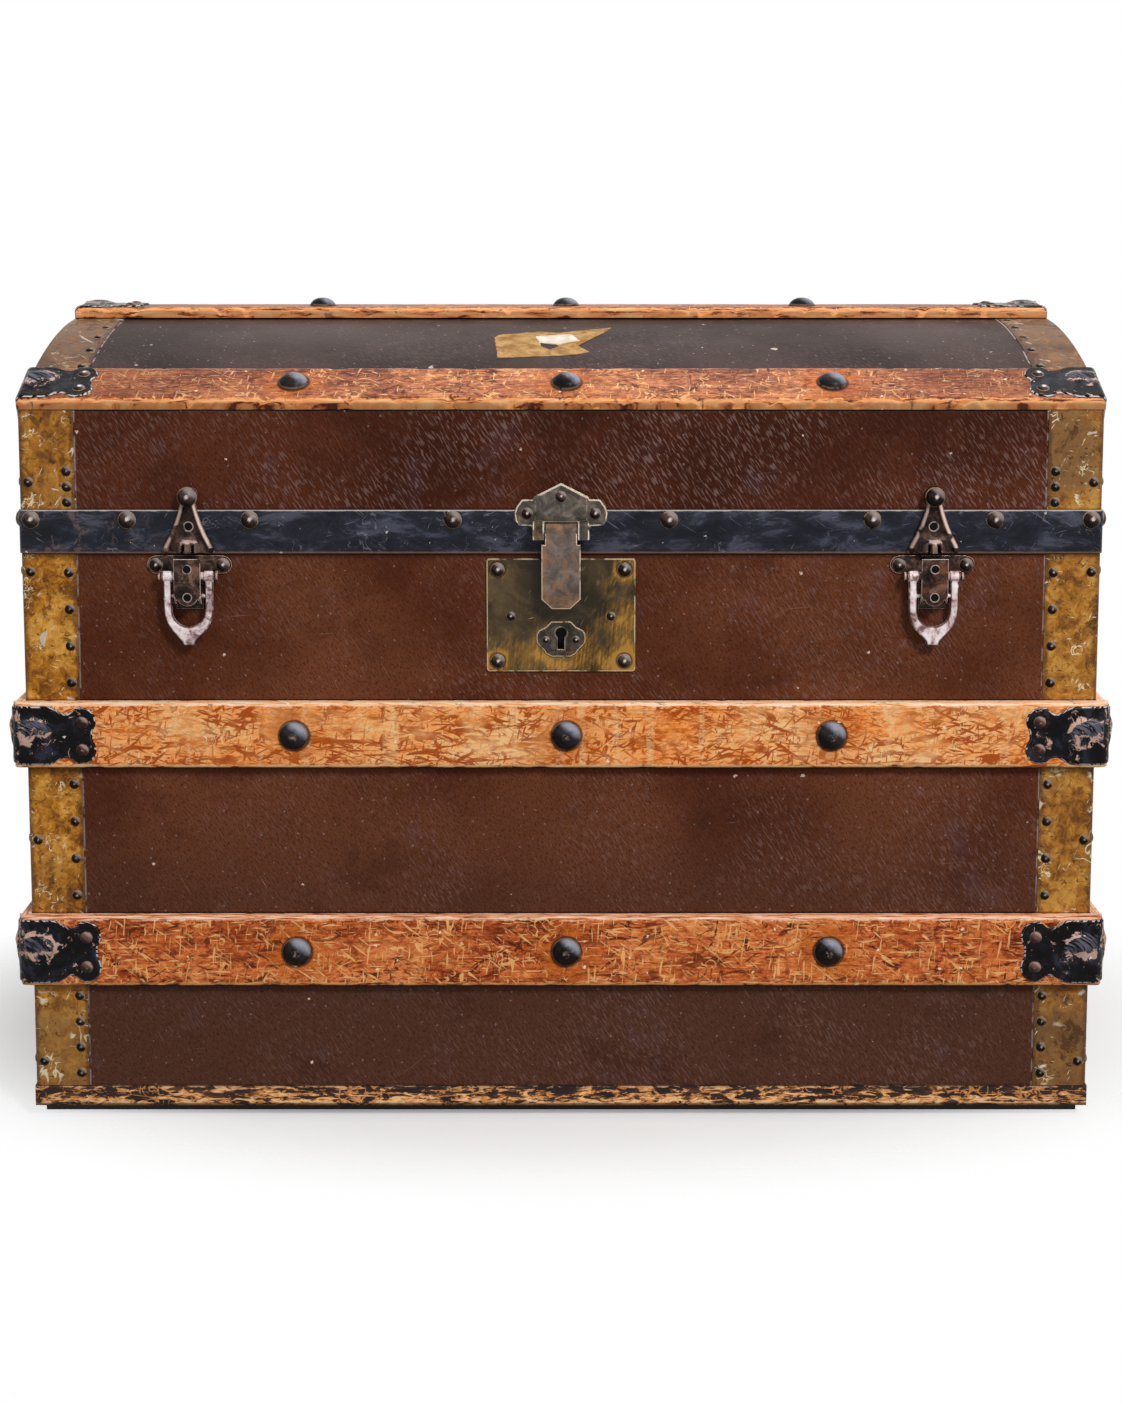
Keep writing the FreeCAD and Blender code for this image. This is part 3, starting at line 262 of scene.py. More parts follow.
class Shader(Graph):
    """Graph of one material, with the patterns that the trunk's finishes share."""

    def __init__(self, name: str) -> None:
        """Make an empty material with the given name."""
        self.material = bpy.data.materials.new(name)
        self.material.use_nodes = True
        super().__init__(self.material.node_tree)
        place = self.out("ShaderNodeTexCoord", which="Object")
        self.place = place
        self.x, self.y, self.z = self.split(place)
        self.outward = (abs(self.x) - HALF_WIDTH).either(abs(self.y) - HALF_DEPTH).either(0.0)

    def blend(self, factor: object, first: object, second: object, mode: str = "MIX") -> Term:
        """Mix of two colours.

        Args:
            factor: share of the second one.
            first: colour or term.
            second: colour or term.
            mode: how they mix.

        Returns:
            The mixed colour.
        """
        made = self.node("ShaderNodeMix", {"data_type": "RGBA", "blend_type": mode})
        self.put(made.inputs[0], factor)
        self.put(made.inputs[6], first)
        self.put(made.inputs[7], second)
        return Term(self, made.outputs[2])

    def ramp(self, value: Term, stops: Sequence[tuple[float, Colour]]) -> Term:
        """Colour ramp.

        Args:
            value: the place on the ramp.
            stops: positions and their colours, in order.

        Returns:
            The colour.
        """
        made = self.node("ShaderNodeValToRGB", None, {0: value})
        elements = made.color_ramp.elements
        while len(elements) < len(stops):
            elements.new(1.0)
        for element, (position, colour) in zip(elements, stops):
            element.position = position
            element.color = colour
        return Term(self, made.outputs[0])

    def attribute(self, name: str) -> Term:
        """Value that a piece's mesh stores under a name."""
        return self.out("ShaderNodeAttribute", {"attribute_name": name}, which="Fac")

    def stretched(self, along: float, across: float, turn: float = 0.0, flat: bool = False, shift: float = 0.0) -> Term:
        """Place on the walls, scaled differently along and across a direction.

        Args:
            along: scale along the direction.
            across: scale across it.
            turn: angle of the direction above the horizontal, in radians.
            flat: True on the dome, where the depth takes the place of the height.
            shift: moves the pattern, so that two of them differ.

        Returns:
            The place for a texture.
        """
        level = self.x + (self.y * 0.0 if flat else self.y)
        rise = self.y + self.z * 0.5 if flat else self.z - self.outward
        cosine, sine = math.cos(turn), math.sin(turn)
        first = (level * cosine + rise * sine) * along + shift
        second = (rise * cosine - level * sine) * across
        return self.join(first, shift, second)

    def squiggles(self, scale: float, width: float, cover: float, shift: float = 0.0) -> Term:
        """Thin curling scratches, in patches.

        Args:
            scale: frequency of the curls.
            width: half width of a line, in noise units.
            cover: share of the surface that has them, about.
            shift: moves the pattern.

        Returns:
            A mask.
        """
        place = self.vector("ADD", self.place, (shift, shift, shift))
        curls = self.noise(place, scale, 1.0, 0.5, 1.2)
        line = self.smooth(abs(curls - 0.5), width, width * 0.3)
        patch = self.smooth(self.noise(place, scale * 0.45, 2.0), 0.66 - cover * 0.3, 0.72 - cover * 0.3)
        return line * patch

    def strokes(self, length: float, width: float, turn: float, cover: float, shift: float = 0.0,
                flat: bool = False, warp: float = 0.0) -> Term:
        """Thin scratches in one direction.

        Args:
            length: their usual length.
            width: their usual width.
            turn: their angle above the horizontal, in radians.
            cover: share of the surface that has them, about.
            shift: moves the pattern.
            flat: True on the dome.
            warp: how much they bend.

        Returns:
            A mask.
        """
        place = self.stretched(0.5 / length, 0.5 / width, turn, flat, shift)
        level = 0.78 - cover
        soft, rough = (0.02, 0.35) if warp else (0.0, 0.55)
        return self.smooth(self.noise(place, 1.0, 2.0, rough, warp), level - soft, level + 0.05 + soft)

    def beside(self, columns: Sequence[float], rows: Sequence[float], flat: bool = False) -> Term:
        """Distance from the nearest crossing of columns and rows, on the front or the dome.

        Args:
            columns: their places along x.
            rows: their heights, or on the dome their distances from its ridge.
            flat: True on the dome.

        Returns:
            The distance in metres.
        """
        rise = abs(self.y) if flat else self.z
        sideways, upwards = abs(self.x - columns[0]), abs(rise - rows[0])
        for column in columns[1:]:
            sideways = sideways.both(abs(self.x - column))
        for row in rows[1:]:
            upwards = upwards.both(abs(rise - row))
        return self.vector("LENGTH", self.join(sideways, 0.0, upwards))

    def specks(self, spacing: float, radius: float, share: float, shift: float = 0.0, flat: bool = False) -> Term:
        """Small scattered chips with ragged outlines.

        Args:
            spacing: distance between the places that may hold one.
            radius: radius of the largest chip.
            share: share of the places that hold one.
            shift: moves the pattern.
            flat: True on the dome.

        Returns:
            A mask.
        """
        across = self.out("ShaderNodeTexNoise", None, {"Vector": self.place, "Scale": 0.8 / radius}, 1)
        ragged = self.vector("MULTIPLY", across, (radius * 3.2, radius * 3.2, radius * 3.2))
        level = self.x + (self.y * 0.0 if flat else self.y) + shift
        flatly = self.join(level, self.y if flat else self.z, 0.0)
        made = self.node("ShaderNodeTexVoronoi", {"voronoi_dimensions": "2D"}, {
            "Vector": self.vector("ADD", flatly, ragged), "Scale": 1 / spacing})
        first, second, _ = self.split(Term(self, made.outputs["Color"]))
        size = (second * 0.7 + 0.3) * (radius / spacing)
        near = self.math("LESS_THAN", Term(self, made.outputs["Distance"]), size)
        return near * self.math("LESS_THAN", first, share)

    def ledge_shade_and_dirt(self, ledges: Sequence[tuple[float, float, float]]) -> Term:
        """Painted shade, with some dirt, in the corners above and below what is fixed across a wall.

        Args:
            ledges: height of each edge, and how far the painted shade reaches below and above it.

        Returns:
            A mask.
        """
        found = self.z * 0.0
        for height, below, above in ledges:
            under = self.smooth(self.z, height - below, height)
            found = found.either(under.both(self.smooth(self.z, height + above, height)))
        return found

    def bump(self, height: Term, depth: float, strength: float = 1.0) -> Term:
        """Normal of a relief.

        Args:
            height: the relief, from 0 to 1.
            depth: its depth in metres.
            strength: share of it that shows.

        Returns:
            The normal.
        """
        return self.out("ShaderNodeBump", None, {"Strength": strength, "Distance": depth, "Height": height})

    def surface(self, colour: object, rough: object, metal: object = 0.0, normal: Term | None = None,
                gloss: float = 0.12) -> bpy.types.Material:
        """Finish the material.

        Args:
            colour: base colour.
            rough: roughness.
            metal: how metallic it is.
            normal: normal of its relief.
            gloss: strength of its reflections, 0.5 for clean varnish and far less for dusty things.

        Returns:
            The material.
        """
        inputs = {"Base Color": colour, "Roughness": rough, "Metallic": metal, "Specular IOR Level": gloss}
        if normal is not None:
            inputs["Normal"] = normal
        made = self.out("ShaderNodeBsdfPrincipled", None, inputs)
        self.node("ShaderNodeOutputMaterial", None, {"Surface": made})
        return self.material


@dataclass(frozen=True)
class CanvasFinish:
    """Painted ribbed canvas, scuffed and faded."""

    name: str
    dark: Colour
    light: Colour
    low: Colour
    deep: Colour
    rib_strength: float
    dust: float
    ledges: tuple[tuple[float, float, float], ...] = ()
    flat: bool = False
    edge_strength: float = 0.4
    dust_strength: float = 0.34
    hem: float = 0.0
    scuff: Colour = paint(154, 124, 118)
    speck: Colour = paint(228, 206, 182)
    scratch: Colour = paint(158, 116, 98)
    gloss: float = 0.08

    def material(self) -> bpy.types.Material:
        """The canvas."""
        s = Shader(self.name)
        steep = math.radians(-57)
        cloud = s.noise(s.place, 7.0, 4.0, 0.6)
        tone = s.smooth(cloud, 0.36, 0.64)
        colour = s.blend(tone, self.dark, self.light)
        if not self.flat:
            colour = s.blend(s.smooth(s.z, 0.30, 0.10), colour, self.low)
        weave = s.noise(s.stretched(330.0, 950.0, steep, self.flat, 7.0), 1.0, 2.0, 0.6)
        colour = s.blend(s.smooth(weave, 0.52, 0.36) * 0.6, colour, self.deep)
        rib = s.noise(s.stretched(125.0, 720.0, steep, self.flat), 1.0, 1.0, 0.5)
        patch = s.smooth(s.noise(s.place, 12.0, 3.0, 0.6), 0.38, 0.62) * (s.smooth(s.x, -0.40, 0.05) * 0.5 + 0.5)
        scuffs = s.smooth(rib, 0.52, 0.64) * (patch * 0.85 + 0.15) * self.rib_strength
        colour = s.blend(scuffs, colour, self.scuff)
        bloom = s.smooth(s.noise(s.place, 24.0, 3.0, 0.6), 0.60, 0.75)
        colour = s.blend(bloom * 0.07, colour, paint(128, 108, 128))
        stain = s.smooth(s.noise(s.stretched(9.0, 14.0, 0.0, self.flat, 3.0), 1.0, 4.0, 0.7), 0.54, 0.68)
        colour = s.blend(stain * 0.35, colour, self.deep)
        lines = s.strokes(0.018, 0.0006, math.radians(-62), 0.080, 2.0, self.flat)
        lines = lines.either(s.strokes(0.030, 0.0007, math.radians(5), 0.055, 5.0, self.flat))
        lines = lines.either(s.strokes(0.034, 0.0006, math.radians(38), 0.045, 9.0, self.flat))
        colour = s.blend(lines * 0.6, colour, self.scratch)
        small = s.specks(0.0095, 0.0008, self.dust, 0.37, self.flat)
        colour = s.blend(small * self.dust_strength, colour, paint(176, 156, 158))
        dots = s.specks(0.055, 0.0013, 0.26, 0.0, self.flat)
        chips = s.specks(0.130, 0.0024, 0.20, 0.11, self.flat)
        colour = s.blend(dots.either(chips) * 0.85, colour, self.speck)
        edge = s.smooth(abs(abs(s.x) - 0.3652), 0.0014, 0.0004)
        if not self.flat:
            edge = edge.either(s.smooth(abs(abs(s.y) - 0.1937), 0.0014, 0.0004))
        broken = s.smooth(s.noise(s.place, 55.0, 3.0, 0.7), 0.42, 0.54)
        colour = s.blend(edge * broken * self.edge_strength, colour, paint(206, 186, 186))
        if self.hem:
            seam = s.smooth(abs(s.z - self.hem), 0.0009, 0.0003) * s.smooth(abs(s.x), 0.385, 0.380)
            colour = s.blend(seam * broken * 0.7, colour, paint(206, 180, 190))
        if self.ledges:
            # Painted shade, with some dirt, under and over the slats and the belt.
            colour = s.blend(s.ledge_shade_and_dirt(self.ledges) * 0.85, colour, paint(22, 9, 5))
        relief = rib * 0.8 + weave * 0.3 - lines * 0.4 + dots * 0.3
        return s.surface(colour, 0.46 - tone * 0.06 + scuffs * 0.2, 0.0, s.bump(relief, 0.0006, 0.6), self.gloss)


@dataclass(frozen=True)
class WoodFinish:
    """Varnished slat, worn to bare golden wood along its edges, with a painted highlight on its upper edge and painted
    shade along its lowest edge and round the studs.
    """

    name: str
    dark: Colour
    varnish: Colour
    worn: Colour
    pale: Colour
    upper_edge: Colour
    lower_edge: Colour
    mark: Colour
    scratch: Colour
    mark_cover: float
    scratch_cover: float
    columns: tuple[float, ...]
    rows: tuple[float, ...]
    flat: bool = False
    shift: float = 0.0
    grime_and_shade: Colour = paint(58, 24, 10)
    amber: Colour = paint(196, 98, 22)
    bare: Colour = paint(255, 238, 222)

    def material(self) -> bpy.types.Material:
        """The wood."""
        s = Shader(self.name)
        flat, k = self.flat, self.shift
        cloud = s.noise(s.stretched(9.0, 16.0, 0.0, flat, k + 11), 1.0, 3.0, 0.6)
        blotch = s.noise(s.stretched(60.0, 95.0, 0.0, flat, k), 1.0, 4.0, 0.65, 0.8)
        grain = s.noise(s.stretched(190.0, 420.0, 0.0, flat, k + 8), 1.0, 3.0, 0.7, 0.6)
        streak = s.noise(s.stretched(20.0, 520.0, 0.0, flat, k + 4), 1.0, 3.0, 0.6)
        value = cloud * 0.34 + blotch * 0.20 + grain * 0.28 + streak * 0.18
        colour = s.ramp(value, [(0.41, self.dark), (0.46, self.varnish), (0.51, self.worn), (0.58, self.pale)])
        marks = s.smooth(blotch, 0.43, 0.37) * 0.5
        for index, (length, width, turn) in enumerate((
                (0.0110, 0.0018, 3), (0.0090, 0.0020, -19), (0.0085, 0.0018, 30), (0.0060, 0.0019, 80))):
            cover = self.mark_cover * (0.30 if index < 2 else 0.26)
            marks = marks.either(s.strokes(length, width, math.radians(turn), cover, k + 6 + index * 3, flat, 1.3))
        patchy = s.smooth(s.noise(s.stretched(22.0, 34.0, 0.0, flat, k + 27), 1.0, 3.0, 0.6), 0.36, 0.56)
        colour = s.blend(marks * (patchy * 0.65 + 0.3), colour, self.mark)
        bars = s.smooth(s.noise(s.stretched(60.0, 5.0, 0.0, flat, k + 21), 1.0, 1.0), 0.64, 0.70)
        colour = s.blend(bars * s.smooth(grain, 0.40, 0.54) * 0.45, colour, self.pale)
        nicks = s.strokes(0.0085, 0.0012, math.radians(2), self.scratch_cover * 0.24, k + 1, flat)
        nicks = nicks.either(s.strokes(0.0070, 0.0011, math.radians(85), self.scratch_cover * 0.20, k + 2, flat, 0.6))
        nicks = nicks.either(s.strokes(0.0080, 0.0010, math.radians(-38), self.scratch_cover * 0.18, k + 3, flat, 0.6))
        nicks = nicks.either(s.squiggles(92.0, 0.034, self.scratch_cover * 0.5, k + 0.7))
        colour = s.blend(nicks * 0.8, colour, self.scratch)
        near = s.beside(self.columns, self.rows, flat)
        halo = s.smooth(near, 0.034, 0.013) * s.smooth(blotch, 0.42, 0.54)
        colour = s.blend(halo * 0.6, colour, self.amber)
        # Painted shadow ring round the foot of each stud head.
        colour = s.blend(s.smooth(near, 0.0134, 0.0116) * 0.85, colour, self.grime_and_shade)
        border, up = s.attribute("edge"), s.attribute("up")
        jag = (s.noise(s.place, 160.0, 3.0, 0.65) - 0.5) * 0.22
        grit = s.noise(s.stretched(34.0, 460.0, 0.0, flat, k + 33), 1.0, 4.0, 0.7, 0.5)
        # The edge on the +up side, the top edge of the wall slats: worn wood with a painted highlight where it faces
        # up.
        upper = s.ramp(grit, [(0.34, self.mark), (0.42, self.worn), (0.50, self.upper_edge), (0.66, self.bare)])
        colour = s.blend(s.smooth(up + jag, 0.87, 0.93) * 0.92, colour, upper)
        lower = s.ramp(grit, [(0.32, self.grime_and_shade), (0.39, self.mark), (0.45, self.lower_edge), (0.66, self.scratch)])
        colour = s.blend(s.smooth(up + jag, -0.87, -0.93) * 0.92, colour, lower)
        gouge = s.smooth(s.noise(s.stretched(70.0, 150.0, 0.0, flat, k + 30), 1.0, 3.0, 0.7), 0.600, 0.650)
        colour = s.blend(gouge * s.smooth(border, 0.1, 0.7) * 0.6, colour, self.grime_and_shade)
        if flat:
            ends = s.smooth(abs(s.x), 0.16, 0.36) * s.smooth(blotch, 0.36, 0.50) * s.smooth(up, -0.90, -0.80)
            colour = s.blend(ends * 0.42, colour, self.dark)
        # Painted shade along the slat's lowest edge, strongest on the wall slats.
        colour = s.blend(s.smooth(up, -0.975, -0.995) * (0.35 if flat else 0.85), colour, self.grime_and_shade)
        chips = s.specks(0.016, 0.0012, 0.14, k, flat)
        colour = s.blend(chips * 0.85, colour, paint(255, 236, 208))
        relief = grain * 0.3 + streak * 0.3 - gouge * 0.5
        rough = s.smooth(value, 0.42, 0.58) * 0.2 + 0.36
        return s.surface(colour, rough, 0.0, s.bump(relief, 0.0007, 0.6), 0.12)


@dataclass(frozen=True)
class RailFinish:
    """Dark painted rail with long worn streaks of golden wood."""

    name: str = "worn rail"
    dark: Colour = paint(50, 35, 32)
    brown: Colour = paint(98, 62, 44)
    gold: Colour = paint(222, 150, 84)
    pale: Colour = paint(250, 206, 152)

    def material(self) -> bpy.types.Material:
        """The rail's wood."""
        s = Shader(self.name)
        long = s.noise(s.stretched(24.0, 190.0), 1.0, 5.0, 0.7, 0.5)
        short = s.noise(s.stretched(85.0, 260.0, 0.0, False, 6.0), 1.0, 4.0, 0.7, 0.9)
        colour = s.ramp(long, [(0.38, paint(34, 23, 20)), (0.50, self.dark), (0.60, self.brown)])
        low = s.smooth(s.z, 0.0200, 0.0120)
        flakes = short * 0.6 + long * 0.4 + low * 0.055
        colour = s.blend(s.smooth(flakes, 0.522, 0.540) * 0.9, colour, self.gold)
        colour = s.blend(s.smooth(flakes, 0.565, 0.590) * 0.8, colour, self.pale)
        curls = s.squiggles(80.0, 0.045, 0.45, 2.0)
        colour = s.blend(curls * 0.75, colour, self.gold)
        top = s.smooth(s.z, 0.0236, 0.0252) * s.smooth(short, 0.50, 0.56)
        colour = s.blend(top * 0.8, colour, paint(214, 170, 140))
        crack = s.smooth(s.z, 0.0249, 0.0257)
        colour = s.blend(crack * 0.8, colour, paint(20, 12, 10))
        foot = s.smooth(s.z, 0.0128, 0.0108)
        colour = s.blend(foot * 0.85, colour, paint(16, 10, 9))
        return s.surface(colour, 0.42, 0.0, s.bump(long * 0.5 + flakes * 0.5, 0.0011, 0.8), 0.16)


@dataclass(frozen=True)
class BrassFinish:
    """Aged sheet brass, mottled from mustard to brown, with pale scratches."""

    name: str
    dark: Colour
    middle: Colour
    light: Colour
    grey: Colour
    greyness: float
    ledges: tuple[tuple[float, float, float], ...] = ()
    scratch: Colour = paint(240, 224, 188)
    inner_x: float = 366.2 * MM
    inner_y: float = 194.7 * MM
    fold_x: float = 407.2 * MM
    fold_y: float = 235.7 * MM

    def material(self) -> bpy.types.Material:
        """The brass."""
        s = Shader(self.name)
        cloud = s.noise(s.place, 22.0, 4.0, 0.62, 0.6)
        fine = s.noise(s.place, 130.0, 4.0, 0.70, 0.8)
        value = cloud * 0.5 + fine * 0.5
        colour = s.ramp(value, [(0.41, self.dark), (0.50, self.middle), (0.60, self.light)])
        side = s.smooth(s.x, -0.1, 0.35) * 0.35 + s.smooth(s.noise(s.place, 11.0, 2.0), 0.52, 0.68) * 0.6
        low = s.smooth(s.z, 0.12, 0.07).either(s.smooth(s.z, 0.47, 0.50) * 0.4)
        colour = s.blend((side + low * 0.8) * self.greyness, colour, self.grey)
        brown = s.smooth(s.noise(s.place, 40.0, 5.0, 0.74, 0.5), 0.545, 0.62)
        colour = s.blend(brown * s.smooth(fine, 0.38, 0.52) * 0.75, colour, paint(66, 36, 14))
        pits = s.smooth(s.noise(s.place, 240.0, 3.0, 0.65, 0.6), 0.40, 0.32)
        colour = s.blend(pits * 0.75, colour, paint(58, 34, 12))
        ragged = (s.noise(s.place, 70.0, 4.0, 0.7) - 0.5) * 0.012
        inner = abs(abs(s.x) - self.inner_x).both(abs(abs(s.y) - self.inner_y))
        fold = ((abs(s.x) - self.fold_x) * -1.0).either((abs(s.y) - self.fold_y) * -1.0)
        grime_and_shade = s.smooth(inner + ragged, 0.0035, 0.0005).either(s.smooth(fold + ragged, 0.0060, 0.0010))
        colour = s.blend(grime_and_shade * 0.6, colour, paint(56, 32, 16))
        lines = s.squiggles(64.0, 0.050, 0.10).either(s.squiggles(140.0, 0.045, 0.16, 3.1))
        lines = lines.either(s.strokes(0.008, 0.0014, math.radians(62), 0.105, 4.0))
        lines = lines.either(s.strokes(0.007, 0.0013, math.radians(-12), 0.095, 8.0))
        colour = s.blend(lines * 0.82, colour, self.scratch)
        streaks = s.noise(s.stretched(40.0, 90.0, math.radians(20), False, 5.0), 1.0, 3.0, 0.6, 0.6)
        colour = s.blend(s.smooth(streaks, 0.675, 0.690) * 0.8, colour, paint(206, 200, 188))
        if self.ledges:
            # Painted shade, with some dirt, under and over the slats and the belt.
            colour = s.blend(s.ledge_shade_and_dirt(self.ledges) * 0.8, colour, paint(34, 20, 8))
        relief = cloud * 0.5 + fine * 0.4 - lines * 0.2 - pits * 0.3
        rough = 0.34 + s.smooth(fine, 0.4, 0.6) * 0.2
        return s.surface(colour, rough, 0.06, s.bump(relief, 0.0009, 0.8), 0.16)


@dataclass(frozen=True)
class BeltFinish:
    """Blue-black painted steel with rubbed patches, a bright top edge and a rusty lower one."""

    top: float
    bottom: float
    name: str = "belt paint"
    dark: Colour = paint(18, 19, 27)
    light: Colour = paint(72, 74, 88)
    rub: Colour = paint(112, 92, 86)

    def material(self) -> bpy.types.Material:
        """The belt."""
        s = Shader(self.name)
        cloud = s.noise(s.stretched(26.0, 60.0), 1.0, 5.0, 0.72, 0.5)
        colour = s.ramp(cloud, [(0.38, self.dark), (0.52, paint(34, 36, 46)), (0.63, self.light)])
        patch = s.smooth(s.noise(s.place, 75.0, 4.0, 0.7, 0.6), 0.56, 0.64) * s.smooth(s.x, -0.28, -0.37)
        colour = s.blend(patch * 0.6, colour, self.rub)
        lines = s.squiggles(90.0, 0.016, 0.35).either(s.strokes(0.012, 0.0007, math.radians(-34), 0.11))
        lines = lines.either(s.strokes(0.010, 0.0007, math.radians(14), 0.11, 3.0))
        lines = lines.either(s.strokes(0.006, 0.0007, math.radians(60), 0.10, 6.0))
        colour = s.blend(lines * 0.36, colour, paint(150, 150, 162))
        ragged = s.noise(s.place, 110.0, 3.0, 0.6) * 0.0016
        high = s.smooth(s.z + ragged, self.top - 0.0004, self.top + 0.0006)
        colour = s.blend(high * 0.9, colour, paint(206, 190, 184))
        low = s.smooth(s.z - ragged, self.bottom + 0.0012, self.bottom - 0.0004)
        colour = s.blend(low * 0.8, colour, paint(132, 92, 72))
        dots = s.specks(0.016, 0.0009, 0.20)
        colour = s.blend(dots * 0.8, colour, paint(214, 200, 188))
        return s.surface(colour, 0.34 + patch * 0.15, 0.0, s.bump(cloud, 0.0008, 0.6), 0.14)


@dataclass(frozen=True)
class EnamelFinish:
    """Glossy black enamel, rubbed to bare metal on the raised forms, with a painted sheen on them and a painted
    highlight along the rims.
    """

    name: str = "black enamel"

    def material(self) -> bpy.types.Material:
        """The enamel."""
        s = Shader(self.name)
        cloud = s.noise(s.place, 60.0, 4.0, 0.65, 0.8)
        colour = s.ramp(cloud, [(0.42, paint(6, 6, 8)), (0.54, paint(18, 17, 21)), (0.66, paint(44, 46, 58))])
        boss = s.attribute("boss")
        brushed = s.noise(s.stretched(60.0, 420.0, math.radians(-38), False, 2.0), 1.0, 3.0, 0.65)
        # Painted sheen: blue-grey reflections along the raised forms, streaked in one direction.
        painted_sheen = s.smooth(boss + (brushed - 0.5) * 0.9, 0.30, 0.75) * s.smooth(brushed, 0.44, 0.60)
        colour = s.blend(painted_sheen * 0.65, colour, paint(122, 124, 140))
        ring = boss * (1 - s.smooth(boss, 0.62, 0.86) * 0.9)
        rubbed = ring * 0.62 + (s.noise(s.place, 95.0, 5.0, 0.74, 1.0) - 0.5) * 2.6
        bare = s.smooth(rubbed, 0.27, 0.39)
        colour = s.blend(bare * 0.85, colour, paint(212, 172, 154))
        # Pale broken line along the rounded rims: a painted highlight, partly worn enamel.
        rim = s.attribute("edge")
        line = s.smooth(rim, 0.30, 0.50) * s.smooth(rim, 0.92, 0.80)
        edge = line * s.smooth(s.noise(s.place, 80.0, 3.0, 0.6), 0.34, 0.42)
        colour = s.blend(edge * 0.9, colour, paint(214, 202, 200))
        rust = s.smooth(s.noise(s.place, 85.0, 4.0, 0.7), 0.62, 0.70)
        colour = s.blend(rust * 0.4, colour, paint(92, 50, 30))
        dots = s.specks(0.020, 0.0014, 0.18, 0.3)
        colour = s.blend(dots * 0.9, colour, paint(236, 226, 218))
        rough = 0.18 + bare * 0.3 + s.smooth(cloud, 0.5, 0.65) * 0.12
        return s.surface(colour, rough, bare * 0.2, s.bump(cloud * 0.7 + brushed * 0.3, 0.0014, 0.9), 0.09)


@dataclass(frozen=True)
class BronzeFinish:
    """Olive bronze plate with golden streaks that run down it, with painted shadow under the hasp tongue and round the
    rivets.
    """

    name: str = "lock bronze"

    def material(self) -> bpy.types.Material:
        """The bronze."""
        s = Shader(self.name)
        cloud = s.noise(s.place, 26.0, 5.0, 0.66, 0.5)
        colour = s.ramp(cloud, [(0.38, paint(40, 29, 16)), (0.50, paint(70, 55, 33)), (0.62, paint(98, 82, 54))])
        runs = s.noise(s.stretched(30.0, 420.0, math.radians(84), False, 2.0), 1.0, 5.0, 0.72, 0.3)
        slant = s.noise(s.stretched(45.0, 380.0, math.radians(52), False, 4.0), 1.0, 4.0, 0.72, 0.3)
        patina = s.noise(s.place, 45.0, 5.0, 0.72, 0.6)
        rise = s.smooth(s.z, 0.425, 0.355) * 0.08 + s.smooth(s.x, 0.010, 0.046) * 0.075
        value = runs * 0.32 + slant * 0.20 + cloud * 0.20 + patina * 0.28 + rise
        halo = s.smooth(s.beside((-0.0479, 0.0479), (0.3614, 0.4314)), 0.0125, 0.0065)
        crest = s.smooth(abs(s.beside((0.0,), (0.378,)) - 0.0205), 0.006, 0.001) * s.smooth(s.z, 0.390, 0.372)
        value = value + halo * 0.08 + crest * 0.05
        colour = s.blend(s.smooth(value, 0.545, 0.640) * 0.66, colour, paint(140, 98, 30))
        colour = s.blend(s.smooth(value, 0.620, 0.680) * 0.66, colour, paint(196, 142, 58))
        # Painted shadow of the hasp tongue on the plate.
        shade = s.smooth(abs(s.x + 0.012), 0.034, 0.006) * s.smooth(s.z, 0.380, 0.405)
        colour = s.blend(shade * 0.6, colour, paint(22, 17, 10))
        # Painted shadow ring round the foot of each rivet.
        ring = s.beside((-0.0479, 0.0479), (0.3614, 0.4314))
        colour = s.blend(s.smooth(ring, 0.0072, 0.0058) * 0.8, colour, paint(18, 13, 8))
        lines = s.strokes(0.009, 0.0006, math.radians(62), 0.085).either(s.strokes(0.006, 0.0006, 0.2, 0.07, 2.0))
        colour = s.blend(lines * 0.5, colour, paint(214, 194, 150))
        border = s.attribute("edge") * s.smooth(s.noise(s.place, 90.0, 2.0), 0.40, 0.52)
        colour = s.blend(border * 0.8, colour, paint(222, 200, 158))
        spot = s.beside((0.0285,), (0.4210,))
        bright = s.smooth(spot + (patina - 0.5) * 0.020, 0.0040, 0.0010)
        colour = s.blend(bright * 0.5, colour, paint(158, 162, 178))
        return s.surface(colour, 0.32, 0.1, s.bump(cloud * 0.6 + runs * 0.4, 0.0008, 0.5), 0.22)


